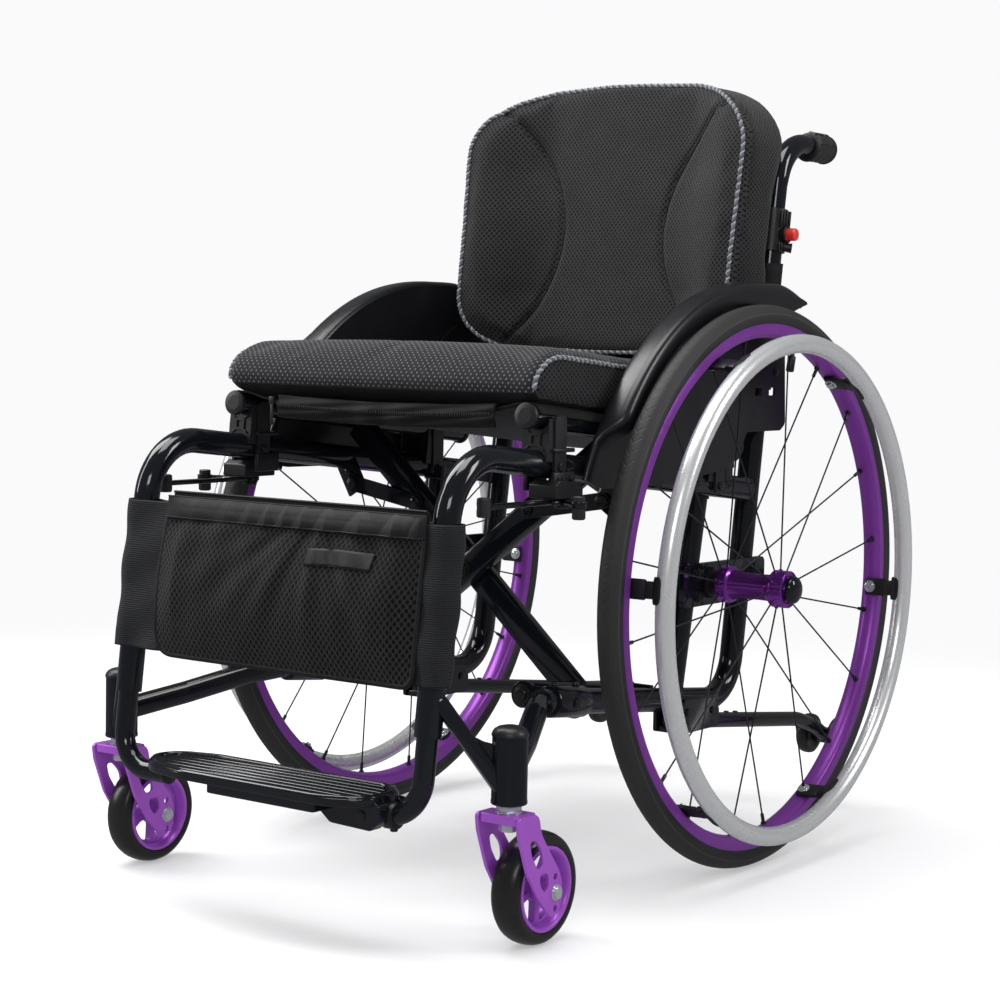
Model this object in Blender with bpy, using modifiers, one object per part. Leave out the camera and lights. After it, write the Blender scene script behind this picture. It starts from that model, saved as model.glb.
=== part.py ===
"""Folding sports wheelchair.

Metres, +Z up, front towards -Y, the sitter's left at +X.
Y is given from the rear axle and shifted by AXLE_Y, so that the origin is on the floor
under the middle of the chair.
"""
import math

import bmesh
import bpy
from mathutils import Matrix, Vector

# Facets of round pieces
TUBE_SIDES = 10
SHAFT_SIDES = 12
PIN_SIDES = 8
HEX_SIDES = 6
CUTTER_SIDES = 16

# Clearances, and how far a cutter or a weld reaches past a face
REACH = 0.02
WELD = 0.001
GAP = 0.0004
SLIP = 0.0006
SHEET_GAP = 0.0008

# Rear wheels
WHEEL_X = 0.247
WHEEL_STEPS = 32
HANDRIM_STEPS = 32
TYRE_RADIUS = 0.296
TYRE_SECTION = 0.0125
TYRE_POINTS = 6
RIM_RADIUS = 0.2755
RIM_DEPTH = 0.014
RIM_WIDTH = 0.021
RIM_LIP = 0.003
HANDRIM_X = 0.2912
HANDRIM_RADIUS = 0.2562
HANDRIM_TUBE = 0.0098
TAB_COUNT = 6
TAB_PHASE = math.radians(-4.5)
TAB_WIDTH = 0.022
TAB_DEPTH = 0.0075
TAB_RISE = 0.0015
TAB_OVERLAP = 0.002
SPOKE_COUNT = 20
SPOKE_RADIUS = 0.0011
SPOKE_SIDES = 4
SPOKE_ROOT = 0.004
SPOKE_SPREAD = 0.1
HUB_INNER_X = 0.205
HUB_OUTER_X = 0.285
HUB_FLANGE = 0.0195
HUB_WAIST = 0.014
HUB_FLANGE_WIDTH = 0.012
HUB_OUTER_FLANGE_WIDTH = 0.018
HUB_NECK = 0.004
HUB_SWELL = 0.002
HUB_WAIST_INNER_X = 0.237
AXLE_RADIUS = 0.0062
AXLE_INNER_X = 0.160
AXLE_TRAVEL = 0.0025
CAP_RADIUS = 0.0145
CAP_LENGTH = 0.0085

# Side frames
RAIL_X = 0.188
FRAME_X = 0.170
TUBE_RADIUS = 0.0127
RAIL_Z = 0.4004
RAIL_SLOPE = -0.105
FRONT_Y = -0.5101
FRONT_LEAN = 0.1207
FRONT_BOTTOM_Z = 0.1979
LOOP_BEND = 0.062
CANE_Y = 0.0536
CANE_LEAN = 0.141
CANE_TOP_Z = 0.698
CANE_BEND = 0.050
LOWER_Z = 0.1677
LOWER_SLOPE = -0.115
UPRIGHT_Y = -0.0696
UPRIGHT_LEAN = 0.155
UPRIGHT_TOP_X = 0.176
UPRIGHT_RADIUS = 0.0115
SLEEVE_FRONT_Y = -0.272
SLEEVE_REAR_Y = -0.215
SLEEVE_RADIUS = 0.0158
COLLAR_RADIUS = 0.0148
COLLAR_HEIGHT = 0.012
COLLAR_DROP = 0.002
FOOT_TUBE_PLAY = 0.004
STEM_BORE_Z = 0.515

# Axle plate
PLATE_FRONT_Y = -0.055
PLATE_REAR_Y = 0.120
PLATE_THICKNESS = 0.006
PLATE_HEIGHT = 0.042
PLATE_CORNER = 0.007
PLATE_BOLT = 0.007
PLATE_BOLT_HEIGHT = 0.0045
RECEIVER_RADIUS = 0.0125
RECEIVER_INNER_X = 0.162

# Cross brace, folding about an axis parallel to the top rails
PIN_Y = -0.172
PIN_Z = 0.307
SEAT_X = 0.185
SEAT_Z = 0.4442
FOOT_X = 0.137
FOOT_RADIUS = 0.012
JOURNAL_RADIUS = 0.006
LUG_THICKNESS = 0.008
LUG_RADIUS = 0.0135
LUG_WEB = 0.020
FOOT_FRONT = -0.078
FOOT_REAR = 0.098
BAR_WIDTH = 0.028
BAR_DEPTH = 0.018
BAR_SPACE = 0.0005
BOLT_RADIUS = 0.005
BOLT_HEAD = 0.009
BOLT_HEAD_HEIGHT = 0.004

# Links between the side frames and the cross bars
LINK_REACH = 0.105
LINK_X = 0.170
LINK_Z = 0.390
LINK_WIDTH = 0.017
LINK_THICKNESS = 0.004
LINK_STUD = 0.003
LINK_HEAD = 0.0065
LINK_HEAD_HEIGHT = 0.003
BRACKET_THICKNESS = 0.004
BRACKET_WIDTH = 0.026
BRACKET_INSET = 0.004
BRACKET_DROP = 0.008
BRACKET_TOP = 0.108

# Seat tubes and their saddles
SEAT_TUBE_RADIUS = 0.011
SEAT_FRONT_Y = -0.3375
SEAT_REAR_Y = 0.045
PLUG_RADIUS = 0.0128
PLUG_LENGTH = 0.005
SADDLE_LENGTH = 0.026
SADDLE_WIDTH = 0.029
SADDLE_LIFT = 0.002
SADDLE_CUT = 0.05
FRONT_SADDLE_Y = -0.318
REAR_SADDLE_Y = -0.019

# Casters
CASTER_X = 0.2455
STEM_Y = -0.440
CASTER_Y = -0.398
CASTER_RADIUS = 0.0525
CASTER_WIDTH = 0.030
CASTER_STEPS = 20
CASTER_HUB_RADIUS = 0.040
CASTER_HUB_WIDTH = 0.030
CASTER_BOSS_RADIUS = 0.012
CASTER_WEB = 0.010
CASTER_RIM = 0.006
CASTER_EDGE = 0.004
CASTER_HOLES = 5
CASTER_HOLE_RADIUS = 0.0085
CASTER_HOLE_CIRCLE = 0.0235
HOUSING_RADIUS = 0.0166
HOUSING_BOTTOM_Z = 0.1336
HOUSING_TOP_Z = 0.2072
HOUSING_BORE = 0.0088
HOUSING_DOME = 0.004
BORE_TOP_Z = 0.190
STEM_RADIUS = 0.0076
STEM_TOP_Z = 0.186
NUT_RADIUS = 0.0125
FORK_HALF_WIDTH = 0.0245
FORK_LEG = 0.0038
FORK_TOP_Z = 0.130
FORK_PLATE = 0.009
CASTER_BOLT = 0.0040
CASTER_BOLT_HEAD = 0.0065
CASTER_BOLT_HEIGHT = 0.0035
ARM_RADIUS = 0.0115
ARM_PATH = ((0.170, -0.280, 0.200), (0.186, -0.317, 0.194), (0.216, -0.376, 0.178))
ARM_END_Z = 0.164
STRUT_TOP_Z = 0.222
STRUT_END_Z = 0.154
STRUT_WIDTH = 0.024
STRUT_THICKNESS = 0.012
MOUNT_CUT_LOW_Z = 0.12
MOUNT_CUT_HIGH_Z = 0.32

# Footrest
FOOT_TUBE_RADIUS = 0.0095
FOOT_TUBE_X = 0.1905
FOOT_TUBE_Z = 0.117
FOOT_TUBE_END_X = 0.130
FOOT_TUBE_BEND = 0.032
FOOT_TUBE_INSIDE = 0.040
FOOTPLATE_FRONT_Y = -0.535
FOOTPLATE_REAR_Y = -0.455
FOOTPLATE_LEFT_X = 0.1450
FOOTPLATE_RIGHT_X = -0.150
FOOTPLATE_BOTTOM_Z = 0.1300
FOOTPLATE_THICKNESS = 0.0095
FOOTPLATE_CORNER = 0.024
CORNER_STEPS = 3
RIDGE_EDGE = 0.006
RIDGE_INSET = 0.004
RIDGE_SHORTENING = 0.7
RIDGE_COUNT = 8
RIDGE_HEIGHT = 0.003
RIDGE_WIDTH = 0.0045
HINGE_X = 0.152
HINGE_Z = 0.136
HINGE_RADIUS = 0.0058
HINGE_PIN = 0.0025
HINGE_WIDTH = 0.016
EAR_THICKNESS = 0.005
EAR_ROOT = 0.006
HINGE_CLAMP_INNER_X = 0.138
HINGE_CLAMP_OUTER_X = 0.1555
HINGE_CLAMP_HALF = 0.0145
HINGE_CLAMP_DROP = 0.0012

# Anti-tippers
TIP_Y = 0.310
TIP_Z = 0.086
TIP_WHEEL_RADIUS = 0.0235
TIP_WHEEL_WIDTH = 0.014
TIP_WHEEL_OFFSET = 0.020
TIP_TUBE_RADIUS = 0.0085
TIP_AXLE_RADIUS = 0.0035
TIP_EYE_RADIUS = 0.0095
TIP_WHEEL_EDGE = 0.004
TIP_PATH = ((-0.045, 0.150), (0.0512, 0.1385), (0.241, 0.1145), (0.283, 0.100))
TIP_CLAMP_HALF = 0.014
TIP_CLAMP_FRONT_Y = -0.050
TIP_CLAMP_REAR_Y = 0.030
TIP_CLAMP_BOTTOM_Z = 0.137
TIP_CLAMP_TOP_Z = 0.172

# Brakes
BRAKE_X = 0.200
BRAKE_Y = -0.300
BRAKE_Z = 0.3965
LEVER_LENGTH = 0.125
LEVER_THICKNESS = 0.005
LEVER_WIDTH = 0.011
SHOE_REACH = 0.0476
SHOE_ANGLE = math.radians(-36)
SHOE_RADIUS = 0.006
SHOE_LOW = 0.014
SHOE_HIGH = 0.008
SHOE_ARM_WIDTH = 0.008
KNOB_RADIUS = 0.0065
KNOB_HALF = 0.009
LEVER_EYE = 0.0095
BRAKE_STUD = 0.004
BRAKE_HEAD = 0.0075
BRAKE_HEAD_HEIGHT = 0.004
BRAKE_INWARD = 0.020
BRAKE_OUTWARD = 0.012
BRAKE_FRONT_Y = -0.328
BRAKE_REAR_Y = -0.282
BRAKE_TOP_Z = 0.428

# Guards
GUARD_X = 0.205
GUARD_THICKNESS = 0.003
GUARD_LIP_X = 0.2335
GUARD_LIP = 0.003
GUARD_FRONT_RADIUS = 0.2934
GUARD_REAR_RADIUS = 0.3207
GUARD_FRONT_ANGLE = math.radians(166.8)
GUARD_REAR_ANGLE = math.radians(69.8)
GUARD_STEPS = 12
GUARD_LOW = [(0.1217, 0.4653), (0.060, 0.436), (-0.002, 0.406), (-0.259, 0.398)]
GUARD_BOSS_Y = (-0.200, -0.060)
GUARD_BOSS_RISE = 0.004
GUARD_BOSS = 0.007

# Push handles
STEM_TUBE_RADIUS = 0.0100
HANDLE_BOTTOM_Z = 0.560
HANDLE_Z = 0.775
HANDLE_BEND = 0.030
GRIP_FRONT_Y = 0.195
GRIP_REAR_Y = 0.283
GRIP_RADIUS = 0.018
GRIP_END = 0.005
HANDLE_LIFT = 0.002
CLAMP_BOTTOM_Z = 0.655
CLAMP_TOP_Z = 0.702
CLAMP_RADIUS = 0.0165
CLAMP_FACE_X = 0.188
CLAMP_PAD_THICKNESS = 0.014
CLAMP_PAD_WIDTH = 0.026
CLAMP_KNOB = 0.0045
CLAMP_KNOB_RISE = 0.003
CLAMP_KNOB_DROP = 0.008
KNOB_START_X = 0.182
KNOB_END_X = 0.193
BUTTON_Z = 0.672
BUTTON_RADIUS = 0.007
BUTTON_LENGTH = 0.012
BUTTON_EDGE = 0.0015
BUTTON_TRAVEL = 0.004
BUTTON_BORE_DEPTH = 0.0035

# Cushions and fabric
SEAT_CUSHION_X = 0.198
SEAT_CUSHION_FRONT_Y = -0.342
SEAT_CUSHION_REAR_Y = 0.052
SEAT_CUSHION_TOP_Z = 0.524
SEAT_CUSHION_TOP_SLOPE = -0.052
SEAT_CROWN = 0.006
SEAT_EDGE = 0.007
SEAT_DRAW = 0.012
BACK_CUSHION_X = 0.188
BACK_CUSHION_BOTTOM_Z = 0.532
BACK_CUSHION_TOP_Z = 0.838
BACK_CUSHION_FRONT_Y = 0.028
BACK_CUSHION_FRONT_Z = 0.615
BACK_POWER = 5
BACK_EDGE = 0.008
BACK_DRAW = 0.02
SEAM = 0.5
SEAM_MIDDLE = 0.35
SEAM_SPREAD = 0.55
SEAM_LOW = -0.13
RECESS = 0.045
RECESS_REACH = 0.93
RECESS_POWER = 0.7
PANEL_PUFF = 0.10
BOLSTER_PUFF = 0.12
SHEET = 0.0025
SLING_SAG = 0.022
SLING_MARGIN = 0.004
CLOTH_COLUMNS = 20
BACK_SLING_BOTTOM_Z = 0.500
BACK_SLING_TOP_Z = 0.640
STRAP_TOP_Z = 0.384
STRAP_RISE = 0.010
STRAP_BOTTOM_Z = 0.236
STRAP_BULGE = 0.012
STRAP_BELLY = 1.15
STRAP_FOLD = 0.0025
STRAP_LEAN = 0.006

# Places that follow from the sizes above
AXLE_Y = -(FOOTPLATE_FRONT_Y + TIP_Y + TIP_WHEEL_RADIUS) / 2
FOLD_ANGLE = math.atan(RAIL_SLOPE)
FOLD = Matrix.Translation((0, PIN_Y + AXLE_Y, PIN_Z)) @ Matrix.Rotation(FOLD_ANGLE, 4, "X")
SEAT_RISE = (SEAT_Z + RAIL_SLOPE * PIN_Y - PIN_Z) * math.cos(FOLD_ANGLE)
BAR_ANGLE = math.atan2(SEAT_RISE, SEAT_X)
FOOT_DROP = -FOOT_X * math.tan(BAR_ANGLE)
RECLINE = math.atan(CANE_LEAN)

PARTS = bpy.data.collections.new("sports_wheelchair")
CUTTERS = bpy.data.collections.new("cutters")


# Materials
def material(name, colour, roughness, metallic):
    """A plain surface of one colour."""
    made = bpy.data.materials.new(name)
    made.use_nodes = True
    surface = made.node_tree.nodes["Principled BSDF"]
    surface.inputs["Base Color"].default_value = (*colour, 1)
    surface.inputs["Roughness"].default_value = roughness
    surface.inputs["Metallic"].default_value = metallic
    return made


def paint(name):
    """The gloss black of the frame."""
    return material(name, (0.008, 0.009, 0.012), 0.15, 0.0)


def anodised(name):
    """The purple of rims, hubs and forks."""
    return material(name, (0.20, 0.035, 0.40), 0.30, 0.9)


def plastic(name):
    """Black moulded plastic."""
    return material(name, (0.015, 0.015, 0.018), 0.45, 0.0)


def rubber(name):
    """Dark grey tyre rubber."""
    return material(name, (0.028, 0.028, 0.030), 0.70, 0.0)


def fabric(name):
    """Black woven fabric."""
    return material(name, (0.020, 0.020, 0.023), 0.90, 0.0)


def silver(name):
    """Satin aluminium."""
    return material(name, (0.72, 0.72, 0.73), 0.35, 1.0)


def red(name):
    """The red of the push buttons."""
    return material(name, (0.62, 0.02, 0.015), 0.40, 0.0)


# Basic shapes, each returned as an object at its place in the chair
def at(x, y, z):
    """A point whose Y is counted from the rear axle."""
    return Vector((x, y + AXLE_Y, z))


def in_fold(across, along, up):
    """A point in the tilted frame of the cross brace, from the middle of its bolt."""
    return FOLD @ Vector((across, along, up))


def link_shape(data):
    """Put curve or mesh data among the working shapes and cutters."""
    made = bpy.data.objects.new("shape", data)
    CUTTERS.objects.link(made)
    return made


def bake(shape):
    """The evaluated mesh of a shape, in the chair's coordinates, as a new object."""
    graph = bpy.context.evaluated_depsgraph_get()
    evaluated = shape.evaluated_get(graph)
    mesh = bpy.data.meshes.new_from_object(evaluated)
    mesh.transform(evaluated.matrix_world)
    joined = bmesh.new()
    joined.from_mesh(mesh)
    bmesh.ops.remove_doubles(joined, verts=joined.verts, dist=1e-6)
    joined.to_mesh(mesh)
    joined.free()
    bpy.data.objects.remove(shape)
    return link_shape(mesh)


def tube(points, radius, sides=12, bend=0.0, steps=5, closed=False):
    """A round tube through corner points, with its bends rounded to a centre line radius."""
    curve = bpy.data.curves.new("tube", "CURVE")
    curve.dimensions = "3D"
    curve.bevel_depth = radius
    curve.bevel_resolution = sides // 2 - 2
    curve.use_fill_caps = True
    places = rounded(points, bend, steps) if bend else points
    spline = curve.splines.new("POLY")
    spline.points.add(len(places) - 1)
    for point, place in zip(spline.points, places):
        point.co = (*place, 1)
    spline.use_cyclic_u = closed
    return bake(link_shape(curve))


def rounded(points, bend, steps):
    """Corner points replaced by arcs of the bend radius."""
    places = [points[0]]
    for before, corner, after in zip(points, points[1:], points[2:]):
        back = (before - corner).normalized()
        ahead = (after - corner).normalized()
        half = back.angle(ahead) / 2
        centre = corner + (back + ahead).normalized() * bend / math.sin(half)
        spoke = corner + back * bend / math.tan(half) - centre
        axis = spoke.cross(corner + ahead * bend / math.tan(half) - centre)
        turn = math.pi - 2 * half
        for step in range(steps + 1):
            places.append(centre + Matrix.Rotation(turn * step / steps, 3, axis) @ spoke)
    places.append(points[-1])
    return places


def primitive(matrix, make):
    """A bmesh primitive moved by a matrix."""
    made = bmesh.new()
    make(made)
    bmesh.ops.transform(made, matrix=matrix, verts=made.verts)
    mesh = bpy.data.meshes.new("shape")
    made.to_mesh(mesh)
    made.free()
    return link_shape(mesh)


def frame_of(forward, normal):
    """A rotation with Z along forward and Y close to normal."""
    third = forward.normalized()
    first = normal.cross(third).normalized()
    second = third.cross(first)
    return Matrix((first, second, third)).transposed().to_4x4()


def bar(start, end, width, depth, normal):
    """A flat bar from start to end, with its depth along the normal."""
    run = end - start
    size = Matrix.Diagonal((width, depth, run.length, 1))
    matrix = Matrix.Translation((start + end) / 2) @ frame_of(run, normal) @ size
    return primitive(matrix, lambda made: bmesh.ops.create_cube(made, size=1))


def block(low, high):
    """A box between two corners."""
    low = Vector(low)
    high = Vector(high)
    matrix = Matrix.Translation((low + high) / 2) @ Matrix.Diagonal((*(high - low), 1))
    return primitive(matrix, lambda made: bmesh.ops.create_cube(made, size=1))


def rod(start, end, radius, sides=12, end_radius=None):
    """A cylinder or cone from start to end."""
    run = end - start
    upright = Vector((1, 0, 0)) if abs(run.normalized().x) < 0.9 else Vector((0, 1, 0))
    matrix = Matrix.Translation((start + end) / 2) @ frame_of(run, upright)
    tip = radius if end_radius is None else end_radius

    def make(made):
        bmesh.ops.create_cone(
            made, cap_ends=True, segments=sides, radius1=radius, radius2=tip, depth=run.length)

    return primitive(matrix, make)


def turned(profile, centre, axis, side, steps):
    """A profile of (radius, distance) pairs turned about X or Z.

    The distance is counted from the centre, outward on the given side. Facets lie at the
    stated radius, and one of them faces down.
    """
    points = [(radius, distance * side) for radius, distance in profile]
    if side < 0:
        points.reverse()
    mesh = bpy.data.meshes.new("profile")
    swell = 1 / math.cos(math.pi / steps)
    places = [(radius * swell, 0, distance) for radius, distance in points]
    edges = [(index, index + 1) for index in range(len(places) - 1)]
    if profile[0][0] > 0:
        edges.append((len(places) - 1, 0))
    mesh.from_pydata(places, edges, [])
    made = link_shape(mesh)
    screw = made.modifiers.new("turn", "SCREW")
    screw.steps = steps
    screw.render_steps = steps
    screw.use_merge_vertices = True
    screw.merge_threshold = 1e-6
    phase = Matrix.Rotation(math.pi / steps, 4, "Z")
    lay = Matrix.Rotation(math.pi / 2, 4, "Y") if axis == "X" else Matrix.Identity(4)
    made.matrix_world = Matrix.Translation(centre) @ lay @ phase
    return bake(made)


def plate(outlines, thickness, place, axis="X"):
    """Flat outlines, the first with the others cut out of it, facing along an axis.

    Facing X, the outline's pairs are Y and Z. Facing Z, they are X and Y.
    """
    curve = bpy.data.curves.new("plate", "CURVE")
    curve.dimensions = "2D"
    curve.fill_mode = "BOTH"
    curve.extrude = thickness / 2
    for outline in outlines:
        spline = curve.splines.new("POLY")
        spline.points.add(len(outline) - 1)
        for point, pair in zip(spline.points, outline):
            point.co = (*pair, 0, 1)
        spline.use_cyclic_u = True
    made = link_shape(curve)
    lay = Matrix(((0, 0, 1, 0), (1, 0, 0, 0), (0, 1, 0, 0), (0, 0, 0, 1)))
    turn = lay if axis == "X" else Matrix.Identity(4)
    made.matrix_world = Matrix.Translation(place) @ turn
    return bake(made)


def combine(base, others, operation):
    """One shape from several, by a boolean."""
    for other in others:
        step = base.modifiers.new(operation.lower(), "BOOLEAN")
        step.operation = operation
        step.solver = "EXACT"
        step.object = other
    made = bake(base)
    for other in others:
        bpy.data.objects.remove(other)
    return made


def fuse(base, *others):
    """Shapes welded into one."""
    return combine(base, others, "UNION")


def cut(base, *others):
    """A shape with others taken away."""
    return combine(base, others, "DIFFERENCE")


def finish(name, shape, surface, origin=None, sharp=35):
    """Name a finished shape, put its origin on its joint's axis and keep it with the parts."""
    mesh = shape.data
    if origin is not None:
        mesh.transform(Matrix.Translation(-origin))
        shape.location = origin
    mesh.materials.clear()
    mesh.materials.append(surface(name + "_surface"))
    mesh.shade_smooth()
    mesh.set_sharp_from_angle(angle=math.radians(sharp))
    mesh.name = name
    shape.name = name
    CUTTERS.objects.unlink(shape)
    PARTS.objects.link(shape)


# Centre lines of the frame's tubes, as functions of one coordinate
def rail_z(y):
    return RAIL_Z + RAIL_SLOPE * y


def seat_z(y):
    return SEAT_Z + RAIL_SLOPE * y


def lower_z(y):
    return LOWER_Z + LOWER_SLOPE * y


def front_y(z):
    return FRONT_Y + FRONT_LEAN * z


def cane_y(z):
    return CANE_Y + CANE_LEAN * z


def upright_y(z):
    return UPRIGHT_Y + UPRIGHT_LEAN * z


def crossing_y(y_at_zero, lean, z_at_zero, slope):
    """Where a steep tube crosses a flat one."""
    return (y_at_zero + lean * z_at_zero) / (1 - lean * slope)


LOOP_CORNER_Y = crossing_y(FRONT_Y, FRONT_LEAN, RAIL_Z, RAIL_SLOPE)
RAIL_END_Y = crossing_y(CANE_Y, CANE_LEAN, RAIL_Z, RAIL_SLOPE)
CANE_CORNER_Y = crossing_y(CANE_Y, CANE_LEAN, LOWER_Z, LOWER_SLOPE)
UPRIGHT_TOP_Y = crossing_y(UPRIGHT_Y, UPRIGHT_LEAN, RAIL_Z, RAIL_SLOPE)
UPRIGHT_BOTTOM_Y = crossing_y(UPRIGHT_Y, UPRIGHT_LEAN, LOWER_Z, LOWER_SLOPE)


def rail_run(side, start_y, end_y, radius):
    """A rod along the top rail, to cut what sits on it."""
    start = at(side * RAIL_X, start_y, rail_z(start_y))
    return rod(start, at(side * RAIL_X, end_y, rail_z(end_y)), radius, CUTTER_SIDES)


def front_run(side, bottom_z, top_z, radius, sides=CUTTER_SIDES):
    """A rod along the front tube."""
    start = at(side * RAIL_X, front_y(bottom_z), bottom_z)
    return rod(start, at(side * RAIL_X, front_y(top_z), top_z), radius, sides)


def upright_run(side, radius, sides):
    """A rod along the second upright."""
    bottom = at(side * FRAME_X, UPRIGHT_BOTTOM_Y, lower_z(UPRIGHT_BOTTOM_Y))
    top = at(side * UPRIGHT_TOP_X, UPRIGHT_TOP_Y, rail_z(UPRIGHT_TOP_Y))
    return rod(bottom, top, radius, sides)


# Side frames
def side_frame(side, name):
    """Front loop with top rail, cane with lower tube, second upright, lugs and brackets."""
    loop = tube([
        at(side * RAIL_X, front_y(FRONT_BOTTOM_Z), FRONT_BOTTOM_Z),
        at(side * RAIL_X, LOOP_CORNER_Y, rail_z(LOOP_CORNER_Y)),
        at(side * RAIL_X, RAIL_END_Y, rail_z(RAIL_END_Y)),
    ], TUBE_RADIUS, sides=TUBE_SIDES, bend=LOOP_BEND, steps=5)
    cane = tube([
        at(side * FRAME_X, SLEEVE_REAR_Y - GAP, lower_z(SLEEVE_REAR_Y)),
        at(side * FRAME_X, CANE_CORNER_Y, lower_z(CANE_CORNER_Y)),
        at(side * FRAME_X, cane_y(CANE_TOP_Z), CANE_TOP_Z),
    ], TUBE_RADIUS, sides=TUBE_SIDES, bend=CANE_BEND, steps=4)
    upright = upright_run(side, UPRIGHT_RADIUS, TUBE_SIDES)
    sleeve = rod(
        at(side * FRAME_X, SLEEVE_FRONT_Y, lower_z(SLEEVE_FRONT_Y)),
        at(side * FRAME_X, SLEEVE_REAR_Y, lower_z(SLEEVE_REAR_Y)), SLEEVE_RADIUS, TUBE_SIDES)
    collar = front_run(
        side, FRONT_BOTTOM_Z - COLLAR_DROP, FRONT_BOTTOM_Z + COLLAR_HEIGHT, COLLAR_RADIUS, TUBE_SIDES)
    shapes = [cane, upright, sleeve, collar]
    for front in (FOOT_FRONT - GAP - LUG_THICKNESS, FOOT_REAR + GAP):
        shapes += lug(side, front)
    shapes += link_bracket(side)
    frame = fuse(loop, *shapes)
    bores = []
    for front in (FOOT_FRONT - GAP - LUG_THICKNESS, FOOT_REAR + GAP):
        bores.append(rod(
            in_fold(side * FOOT_X, front - REACH, FOOT_DROP),
            in_fold(side * FOOT_X, front + LUG_THICKNESS + REACH, FOOT_DROP),
            JOURNAL_RADIUS + SLIP, TUBE_SIDES))
    bores.append(front_run(
        side, FRONT_BOTTOM_Z - REACH, FRONT_BOTTOM_Z + FOOT_TUBE_INSIDE + FOOT_TUBE_PLAY,
        FOOT_TUBE_RADIUS + SLIP))
    bores.append(rod(
        at(side * FRAME_X, cane_y(STEM_BORE_Z), STEM_BORE_Z),
        at(side * FRAME_X, cane_y(CANE_TOP_Z + REACH), CANE_TOP_Z + REACH),
        STEM_TUBE_RADIUS + SLIP, SHAFT_SIDES))
    finish(name + "_side_frame", cut(frame, *bores), paint)


def lug(side, front):
    """A lug that holds one end of a foot tube."""
    eye = rod(
        in_fold(side * FOOT_X, front, FOOT_DROP),
        in_fold(side * FOOT_X, front + LUG_THICKNESS, FOOT_DROP), LUG_RADIUS, TUBE_SIDES)
    middle = front + LUG_THICKNESS / 2
    web = bar(
        in_fold(side * FOOT_X, middle, FOOT_DROP),
        in_fold(side * FRAME_X, middle, FOOT_DROP), LUG_THICKNESS - WELD, LUG_WEB,
        FOLD.to_3x3() @ Vector((0, 0, 1)))
    return [eye, web]


def bar_front(side):
    """The front face of the bar whose top is on the given side."""
    return -BAR_SPACE - BAR_DEPTH if side > 0 else BAR_SPACE


def link_places(side):
    """The ends of a link in its own plane, and the middle of its thickness."""
    outer = (side * LINK_X, (LINK_Z - PIN_Z) * math.cos(FOLD_ANGLE))
    inner = (side * LINK_REACH * math.cos(BAR_ANGLE), LINK_REACH * math.sin(BAR_ANGLE))
    middle = bar_front(side) - GAP - LINK_THICKNESS / 2
    return outer, inner, middle


def link_bracket(side):
    """A plate below the top rail, with the stud that carries the link."""
    (across, up), _, middle = link_places(side)
    back = middle + LINK_THICKNESS / 2 + GAP + BRACKET_THICKNESS / 2
    head = middle - LINK_THICKNESS / 2 - GAP
    drop = bar(
        in_fold(across - side * BRACKET_INSET, back, up - BRACKET_DROP),
        in_fold(side * RAIL_X, back, BRACKET_TOP), BRACKET_WIDTH, BRACKET_THICKNESS,
        FOLD.to_3x3() @ Vector((0, 1, 0)))
    stud = rod(
        in_fold(across, back, up), in_fold(across, head - WELD, up), LINK_STUD, HEX_SIDES)
    head = rod(
        in_fold(across, head, up), in_fold(across, head - LINK_HEAD_HEIGHT, up), LINK_HEAD, HEX_SIDES)
    return [drop, stud, head]


def brace_link(side, name):
    """The flat link, with its bolt at the bar's end."""
    (outer_x, outer_up), (inner_x, inner_up), middle = link_places(side)
    outer = in_fold(outer_x, middle, outer_up)
    inner = in_fold(inner_x, middle, inner_up)
    axis = FOLD.to_3x3() @ Vector((0, 1, 0))
    half = axis * LINK_THICKNESS / 2
    strip = bar(outer, inner, LINK_WIDTH, LINK_THICKNESS, axis)
    shapes = [rod(place - half, place + half, LINK_WIDTH / 2, PIN_SIDES) for place in (outer, inner)]
    shapes.append(rod(inner - half - axis * LINK_HEAD_HEIGHT, inner, LINK_HEAD, HEX_SIDES))
    body = fuse(strip, *shapes)
    bore = rod(outer - axis * REACH, outer + axis * REACH, LINK_STUD + SLIP, PIN_SIDES)
    finish(name + "_brace_link", cut(body, bore), paint, outer)


# Cross brace
def cross_bar(top_side, name):
    """A bar from its foot tube on one side to the seat tube on the other."""
    front = bar_front(top_side)
    middle = front + BAR_DEPTH / 2
    axis = FOLD.to_3x3() @ Vector((0, 1, 0))
    reach = math.hypot(SEAT_X, SEAT_RISE) - SEAT_TUBE_RADIUS - GAP
    foot = in_fold(-top_side * FOOT_X, middle, FOOT_DROP)
    top = in_fold(top_side * reach * math.cos(BAR_ANGLE), middle, reach * math.sin(BAR_ANGLE))
    strip = bar(foot, top, BAR_WIDTH, BAR_DEPTH, axis)
    foot_tube = rod(
        in_fold(-top_side * FOOT_X, FOOT_FRONT, FOOT_DROP),
        in_fold(-top_side * FOOT_X, FOOT_REAR, FOOT_DROP), FOOT_RADIUS, SHAFT_SIDES)
    journal = rod(
        in_fold(-top_side * FOOT_X, FOOT_FRONT - LUG_THICKNESS, FOOT_DROP),
        in_fold(-top_side * FOOT_X, FOOT_REAR + LUG_THICKNESS, FOOT_DROP), JOURNAL_RADIUS, TUBE_SIDES)
    body = fuse(strip, foot_tube, journal)
    bore = rod(
        in_fold(0, front - REACH, 0), in_fold(0, front + BAR_DEPTH + REACH, 0),
        BOLT_RADIUS + SLIP, SHAFT_SIDES)
    origin = foot if top_side < 0 else in_fold(0, 0, 0)
    finish(name, cut(body, bore), paint, origin)


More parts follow.
